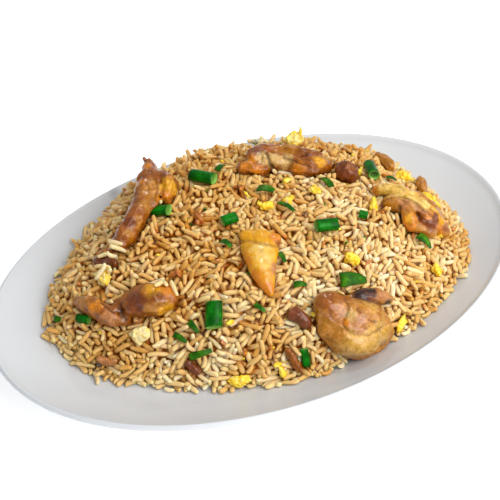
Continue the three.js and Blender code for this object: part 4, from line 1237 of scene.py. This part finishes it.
# %% The foot of the heap
plate_x, plate_y = np.meshgrid(np.arange(-120, 140, CELL), np.arange(-90, 110, CELL), indexing="ij")
plate_top = Surface((-120.0, -90.0), np.stack([plate_x, plate_y, plate_height(plate_x, plate_y)], axis=-1))
share_out = heap_share(plate_x, plate_y)[0]
from_middle = np.hypot(plate_x - HEAP_CENTRE[0], plate_y - HEAP_CENTRE[1])
out_by = (share_out - 1) * from_middle / np.maximum(share_out, 0.1)
skirt = 0.8 + 4.0 * noise_map(plate_x, plate_y, 7, 11) + 3.0 * noise_map(plate_x, plate_y, 3, 5)
FOOT_LAYERS, LAYER_RISE, LAYER_STEP_IN = 4, 2.3, 1.6
foot_grains = []
for layer in range(FOOT_LAYERS):
    cells = np.argwhere((out_by > -6) & (out_by < skirt - LAYER_STEP_IN * layer))
    level = np.full(plate_x.shape, TOUCHING + 0.15 + LAYER_RISE * layer)
    foot_grains += lay_grains(
        plate_top, cells, level, -0.1, 0.25, 30, tilt=0.05 + 0.1 * layer, spill=0.4 + layer,
    )
    foot_grains += lay_grains(plate_top, cells, level, -0.1, 0.25, 20, tilt=0.15, spill=0.5, shorten=0.55)
print("grains at the foot:", len(foot_grains))

# %% [markdown]
# Long-grain rice swells to about three times as long as it is wide. Cooked grains are round at their ends, a
# little curved, and many are broken. A grain starts as a ball with its poles at its ends; its rings are then
# drawn out until it is nearly a rod.

# %% Grain shapes
GRAIN_SIDES, GRAIN_RINGS = 7, 8


def grain_shape(bend, taper, waist, twist):
    """Corners and faces of one grain, from -1 to 1 along X. Taper narrows one end, waist the middle."""
    bm = bmesh.new()
    bmesh.ops.create_uvsphere(bm, u_segments=GRAIN_SIDES, v_segments=GRAIN_RINGS, radius=1)
    bmesh.ops.rotate(bm, cent=(0, 0, 0), matrix=Matrix.Rotation(math.pi / 2, 3, "Y"), verts=bm.verts)
    for vert in bm.verts:
        x = vert.co.x
        thick = math.hypot(vert.co.y, vert.co.z)
        vert.co.x = math.copysign(abs(x) ** 0.85, x)
        if thick > 1e-6:
            fuller = thick ** 0.46 * (1 - taper * (x + 1) / 2 - waist * (1 - x * x)) / thick
            vert.co.y *= fuller
            vert.co.z *= fuller
        vert.co.z += bend * (x * x - 0.4)
        vert.co.y += twist * x * (x * x - 0.5)
    corners = np.array([vert.co[:] for vert in bm.verts])
    corners *= 1 + 0.05 * np.sin(7 * corners[:, :1] + 9 * bend + 3 * corners[:, 1:2])
    faces = [[vert.index for vert in face.verts] for face in bm.faces]
    bm.free()
    return corners, faces


GRAIN_SHAPES = [grain_shape(*looks) for looks in (
    (0.15, 0.15, 0.0, 0.3), (-0.35, 0.1, 0.0, 0.0), (0.6, 0.2, 0.0, -0.3), (0.05, 0.05, 0.1, 0.4),
    (-0.15, 0.3, 0.0, 0.0), (0.9, 0.12, 0.05, 0.3), (0.3, 0.0, 0.0, -0.4), (0.4, 0.35, 0.0, 0.2),
    (-0.6, 0.15, 0.1, 0.5), (0.0, 0.1, 0.0, 0.0),
)]
print("faces in a grain:", len(GRAIN_SHAPES[0][1]))


# %% [markdown]
# Fried rice is not one colour. Each grain took up its own share of oil and sauce: some stayed nearly white,
# most are cream to tan, and those deep in the heap are browner, in part from sauce and in part as painted
# shade of the gaps. Each grain stores its tone and how deep it lies, and the material reads both. Cooked rice
# lets light in, so its edges glow and its shadows stay warm.

# %% Material: cooked rice
def cooked_rice():
    material, shader = new_material("cooked long-grain rice, fried", {
        "Roughness": 0.34, "IOR": 1.42, "Specular IOR Level": 0.22, "Subsurface Weight": 0.8,
        "Subsurface Radius": (1, 0.66, 0.28), "Subsurface Scale": 2.0 * MM, "Coat Weight": 0.15,
        "Coat Roughness": 0.16,
    })
    tone = add_node(material, "Attribute", attribute_name="tone")
    depth = add_node(material, "Attribute", attribute_name="depth")
    place = add_node(material, "TexCoord").outputs["Object"]
    spot = add_node(material, "TexNoise", {"Vector": place, "Scale": 420, "Detail": 2})
    mixed = add_node(
        material, "Math", {0: spot.outputs["Fac"], 1: 0.3, 2: tone.outputs["Fac"]},
        operation="MULTIPLY_ADD",
    )
    tint = add_node(
        material, "ValToRGB", {"Fac": mixed.outputs[0]},
        stops=[(0.1, "F4E2BA"), (0.34, "E9C88C"), (0.6, "D8AC62"), (0.85, "C68C38"), (1.0, "A6661A")],
    )
    sauced_and_shaded = add_node(
        material, "Mix",
        {"Factor": depth.outputs["Fac"], 6: tint.outputs["Color"], 7: linear("BC6806")}, data_type="RGBA",
    )
    link(material, sauced_and_shaded.outputs[2], shader.inputs["Base Color"])
    skin = add_node(material, "TexNoise", {"Vector": place, "Scale": 900, "Detail": 2})
    bump = add_node(
        material, "Bump", {"Height": skin.outputs["Fac"], "Strength": 0.25, "Distance": 0.15 * MM},
    )
    link(material, bump.outputs["Normal"], shader.inputs["Normal"])
    return material


rice_skin = cooked_rice()


# %% Rice grains as meshes
# Regions of browner or paler rice: in part real browning, in part painted shade and painted light that set the
# brightness of parts of the heap
BROWNING_AND_SHADE_PATCHES = (
    (-35, 3, 20, 0.18), (-59, -6, 10, 0.28), (-91, -7, 11, 0.24), (77, -37, 9, 0.3), (-35, -49, 8, 0.16),
    (7, 26, 6, 0.18), (-24, 20, 6, 0.2), (-8, -41, 11, -0.1), (28, -42, 14, -0.08), (-60, -38, 12, -0.08),
    (-15, 15, 34, 0.07), (-75, 25, 30, 0.06), (20, 60, 40, 0.2), (60, -30, 30, -0.06), (-10, -70, 30, -0.06),
    (60, 45, 40, 0.06), (93, -36, 17, 0.22), (90, 35, 20, 0.14), (-70, -42, 24, -0.05),
)


def browning_and_shade_tone(centre):
    """How much browner, or paler when below zero, the rice is round a place: in part real browning, in part
    painted shade and light.
    """
    tone = 0.22 * noise.noise(Vector(centre) / 14)
    for x, y, reach, strength in BROWNING_AND_SHADE_PATCHES:
        tone += strength * math.exp(-((centre[0] - x) ** 2 + (centre[1] - y) ** 2) / reach ** 2)
    return tone


def joined_grains(name, chosen, tone_from, tone_to):
    """One mesh of many grains. Each is a copy of a shape, scaled, turned and moved to its place.

    Depth is stored for each corner: the upper side of a grain stays pale and its lower side is browner, in part
    from sauce that runs down between the grains and in part as painted shade.
    """
    all_places, all_faces, tones, depths = [], [], [], []
    start = 0
    for centre, direction, size, lower, normal in chosen:
        corners, faces = GRAIN_SHAPES[rng.integers(len(GRAIN_SHAPES))]
        roll = rng.uniform(0, 2 * math.pi)
        side = np.cross((0, 0, 1), direction)
        side = side / np.linalg.norm(side)
        up = np.cross(direction, side)
        across = math.cos(roll) * side + math.sin(roll) * up
        above = np.cross(direction, across)
        local = corners * (np.array(size) / 2)
        if rng.random() < 0.5:
            direction, across = -direction, -across
        placed = centre + local[:, :1] * direction + local[:, 1:2] * across + local[:, 2:] * above
        all_places.append(placed)
        all_faces += [[corner + start for corner in face] for face in faces]
        start += len(corners)
        browner = 0 if lower == ON_TOP else browning_and_shade_tone(centre)
        tones.append(np.full(len(corners), rng.uniform(tone_from, tone_to) + browner))
        # Deeper grains and the lower side of each grain are mixed towards dark orange: in part sauce, in part
        # painted shade
        sauce = min(max(0.75 + 2.2 * browner, 0.4), 1)
        depths.append(sauce * np.clip((lower - (placed - centre) @ normal - 1.0) / 1.9, 0, 1))
    mesh = bpy.data.meshes.new(name)
    mesh.from_pydata((np.concatenate(all_places) * MM).tolist(), [], all_faces)
    paint(mesh, "tone", np.concatenate(tones))
    paint(mesh, "depth", np.concatenate(depths))
    return finish_mesh(name, mesh, rice_skin, ["rice"])


RICE_KINDS = {
    "rice_grains_pale": (0.18, 0.0, 0.18),
    "rice_grains_cream": (0.3, 0.16, 0.3),
    "rice_grains_tan": (0.28, 0.26, 0.36),
    "rice_grains_golden": (0.2, 0.34, 0.44),
    "rice_grains_browned": (0.04, 0.44, 0.56),
}
PLATE_MARGIN = 2.5


def over_plate(grain):
    """Whether both ends of a grain are well inside the plate's edge."""
    centre, direction, size = grain[:3]
    reach = direction * size[0] / 2
    return min(inset_of(*(centre + reach)[:2]), inset_of(*(centre - reach)[:2])) > PLATE_MARGIN


all_grains = on_toppings + [grain for grain in grains + foot_grains if over_plate(grain)]
order = np.concatenate([
    np.arange(len(on_toppings)), len(on_toppings) + rng.permutation(len(all_grains) - len(on_toppings)),
])
print("grains in all:", len(all_grains))
used = 0
for name, (part, tone_from, tone_to) in RICE_KINDS.items():
    count = round(part * len(all_grains))
    joined_grains(name, [all_grains[k] for k in order[used:used + count]], tone_from, tone_to)
    used += count


# %% [markdown]
# Cooking leaves crumbs: bits of egg, of browned chicken and of green that stick to the rice, and one scorched
# speck at the left. Each is a small ball pushed out of shape by noise, and each kind is one piece.

# %% Crumbs
def crumbs(name, spots, material, seed):
    luck = np.random.default_rng(seed)
    bm = bmesh.new()
    for x, y, half in spots:
        place = Vector(on_heap(x, y, luck.uniform(-0.6, 0.4)))
        made = bmesh.ops.create_icosphere(bm, subdivisions=2, radius=1)["verts"]
        turn = Matrix.Rotation(luck.uniform(0, 6.3), 3, Vector(luck.normal(size=3)).normalized())
        stretch = luck.uniform(0.8, 2.0)
        for vert in made:
            bumpy = 1 + 0.9 * noise.noise(vert.co * 1.3 + place) + 0.5 * noise.noise(vert.co * 3.1 + place)
            sized = Vector((vert.co.x * stretch, vert.co.y * 0.8, vert.co.z * 0.6)) * bumpy * half
            vert.co = place + turn @ sized
    return finish_bmesh(name, bm, material, ["rice"])


def scattered(count, smallest, largest, seed):
    luck = np.random.default_rng(seed)
    turns, shares = luck.uniform(0, 2 * math.pi, count), np.sqrt(luck.uniform(0, 0.96, count))
    x = HEAP_CENTRE[0] + HEAP_HALF[0] * shares * np.cos(turns)
    y = HEAP_CENTRE[1] + HEAP_HALF[1] * shares * np.sin(turns)
    return list(zip(x, y, luck.uniform(smallest, largest, count)))


EGG_CRUMBS = [
    (-34.5, -63.8, 2.4), (-36, -61, 1.6), (68.5, 6.9, 2.2), (30.4, 18.6, 1.8), (-11.3, -56.4, 1.6),
    (-46.2, -37.1, 1.8), (30.5, -73.1, 2.6), (19.3, 3.6, 2.2), (22, 5, 1.5),
]
BROWNED_BITS = [
    (-24.1, 19.5, 2.6), (-26.5, 17, 1.8), (-21.5, 21, 1.7), (-52.4, -3.5, 2.4), (-54.5, -1.5, 1.6),
    (7.3, 26.3, 2.0), (14.5, -30.5, 1.6), (56.1, -27.2, 1.4), (-47, -50, 1.5),
]
crumbs("egg_crumbs", EGG_CRUMBS + scattered(26, 0.5, 1.3, 5), soft_egg, 61)
crumbs("browned_crumbs", BROWNED_BITS + scattered(46, 0.6, 1.5, 6), caramelized, 62)
crumbs("green_crumbs", scattered(30, 0.5, 1.0, 8), fresh_leaf, 63)
crumbs("scorched_speck", [(-100.0, -5.2, 1.9)], scorched, 64)


# %% [markdown]
# Under the grains lies the core. It shows only in the deepest gaps, where oil and sauce gather and shade
# falls, so it is golden brown and bumpy: its colour is in part the sauce and in part painted shade. A ball
# whose upper half is laid a few millimetres inside the heap's surface and whose lower half is laid on the plate
# makes it one closed piece.

# %% Rice core
def sauce_and_shade_core():
    material, shader = new_material("pressed rice and sauce under the grains", {
        "Roughness": 0.45, "Specular IOR Level": 0.15,
    })
    place = add_node(material, "TexCoord").outputs["Object"]
    lumps = add_node(material, "TexNoise", {"Vector": place, "Scale": 330, "Detail": 3})
    # The core's colour is in part the sauce and in part painted shade of the deep gaps between grains
    tint = add_node(
        material, "ValToRGB", {"Fac": lumps.outputs["Fac"]},
        stops=[(0.35, "9C5204"), (0.55, "B46808"), (0.72, "C88418")],
    )
    link(material, tint.outputs["Color"], shader.inputs["Base Color"])
    bump = add_node(
        material, "Bump", {"Height": lumps.outputs["Fac"], "Strength": 0.8, "Distance": 1.2 * MM},
    )
    link(material, bump.outputs["Normal"], shader.inputs["Normal"])
    return material


def make_core():
    bm = bmesh.new()
    bmesh.ops.create_uvsphere(bm, u_segments=300, v_segments=180, radius=1)
    ball = np.array([vert.co[:] for vert in bm.verts])
    flat_out = np.hypot(ball[:, 0], ball[:, 1])
    azimuth = np.arctan2(ball[:, 1], ball[:, 0])
    edge = np.interp(azimuth, *surface_tables()[:2]) * 0.985
    i, j = heap.cell(edge * flat_out * np.cos(azimuth), edge * flat_out * np.sin(azimuth))
    places = heap.places[i, j] + (crest[i, j] - LAYER)[:, None] * heap.normals[i, j]
    floor = plate_height(places[:, 0], places[:, 1]) + 0.05
    top = ball[:, 2] > 0
    relief = 0.9 * noise_at(places, 2.6, 5)
    places[:, 2] = np.where(top, np.maximum(places[:, 2] + relief, floor + 0.1), floor)
    for vert, place in zip(bm.verts, places):
        vert.co = place
    return finish_bmesh("rice_core", bm, sauce_and_shade_core(), ["rice"])


make_core()


# %% [markdown]
# The plate stands on a plain white floor that glows a little, like a light table, so that it stays white.

# %% Floor
def plain_floor():
    material, shader = new_material("matt white paint", {
        "Roughness": 0.9, "Emission Color": (1, 1, 1, 1), "Emission Strength": 0.4,
    })
    place = add_node(material, "TexCoord").outputs["Object"]
    cloud = add_node(material, "TexNoise", {"Vector": place, "Scale": 3})
    tint = add_node(
        material, "ValToRGB", {"Fac": cloud.outputs["Fac"]},
        stops=[(0.3, "FBFBFB"), (0.7, "FEFEFE")],
    )
    link(material, tint.outputs["Color"], shader.inputs["Base Color"])
    bm = bmesh.new()
    bmesh.ops.create_grid(bm, x_segments=2, y_segments=2, size=3)
    mesh = bpy.data.meshes.new("floor")
    bm.to_mesh(mesh)
    bm.free()
    mesh.materials.append(material)
    floor = bpy.data.objects.new("floor", mesh)
    bpy.context.scene.collection.objects.link(floor)


plain_floor()
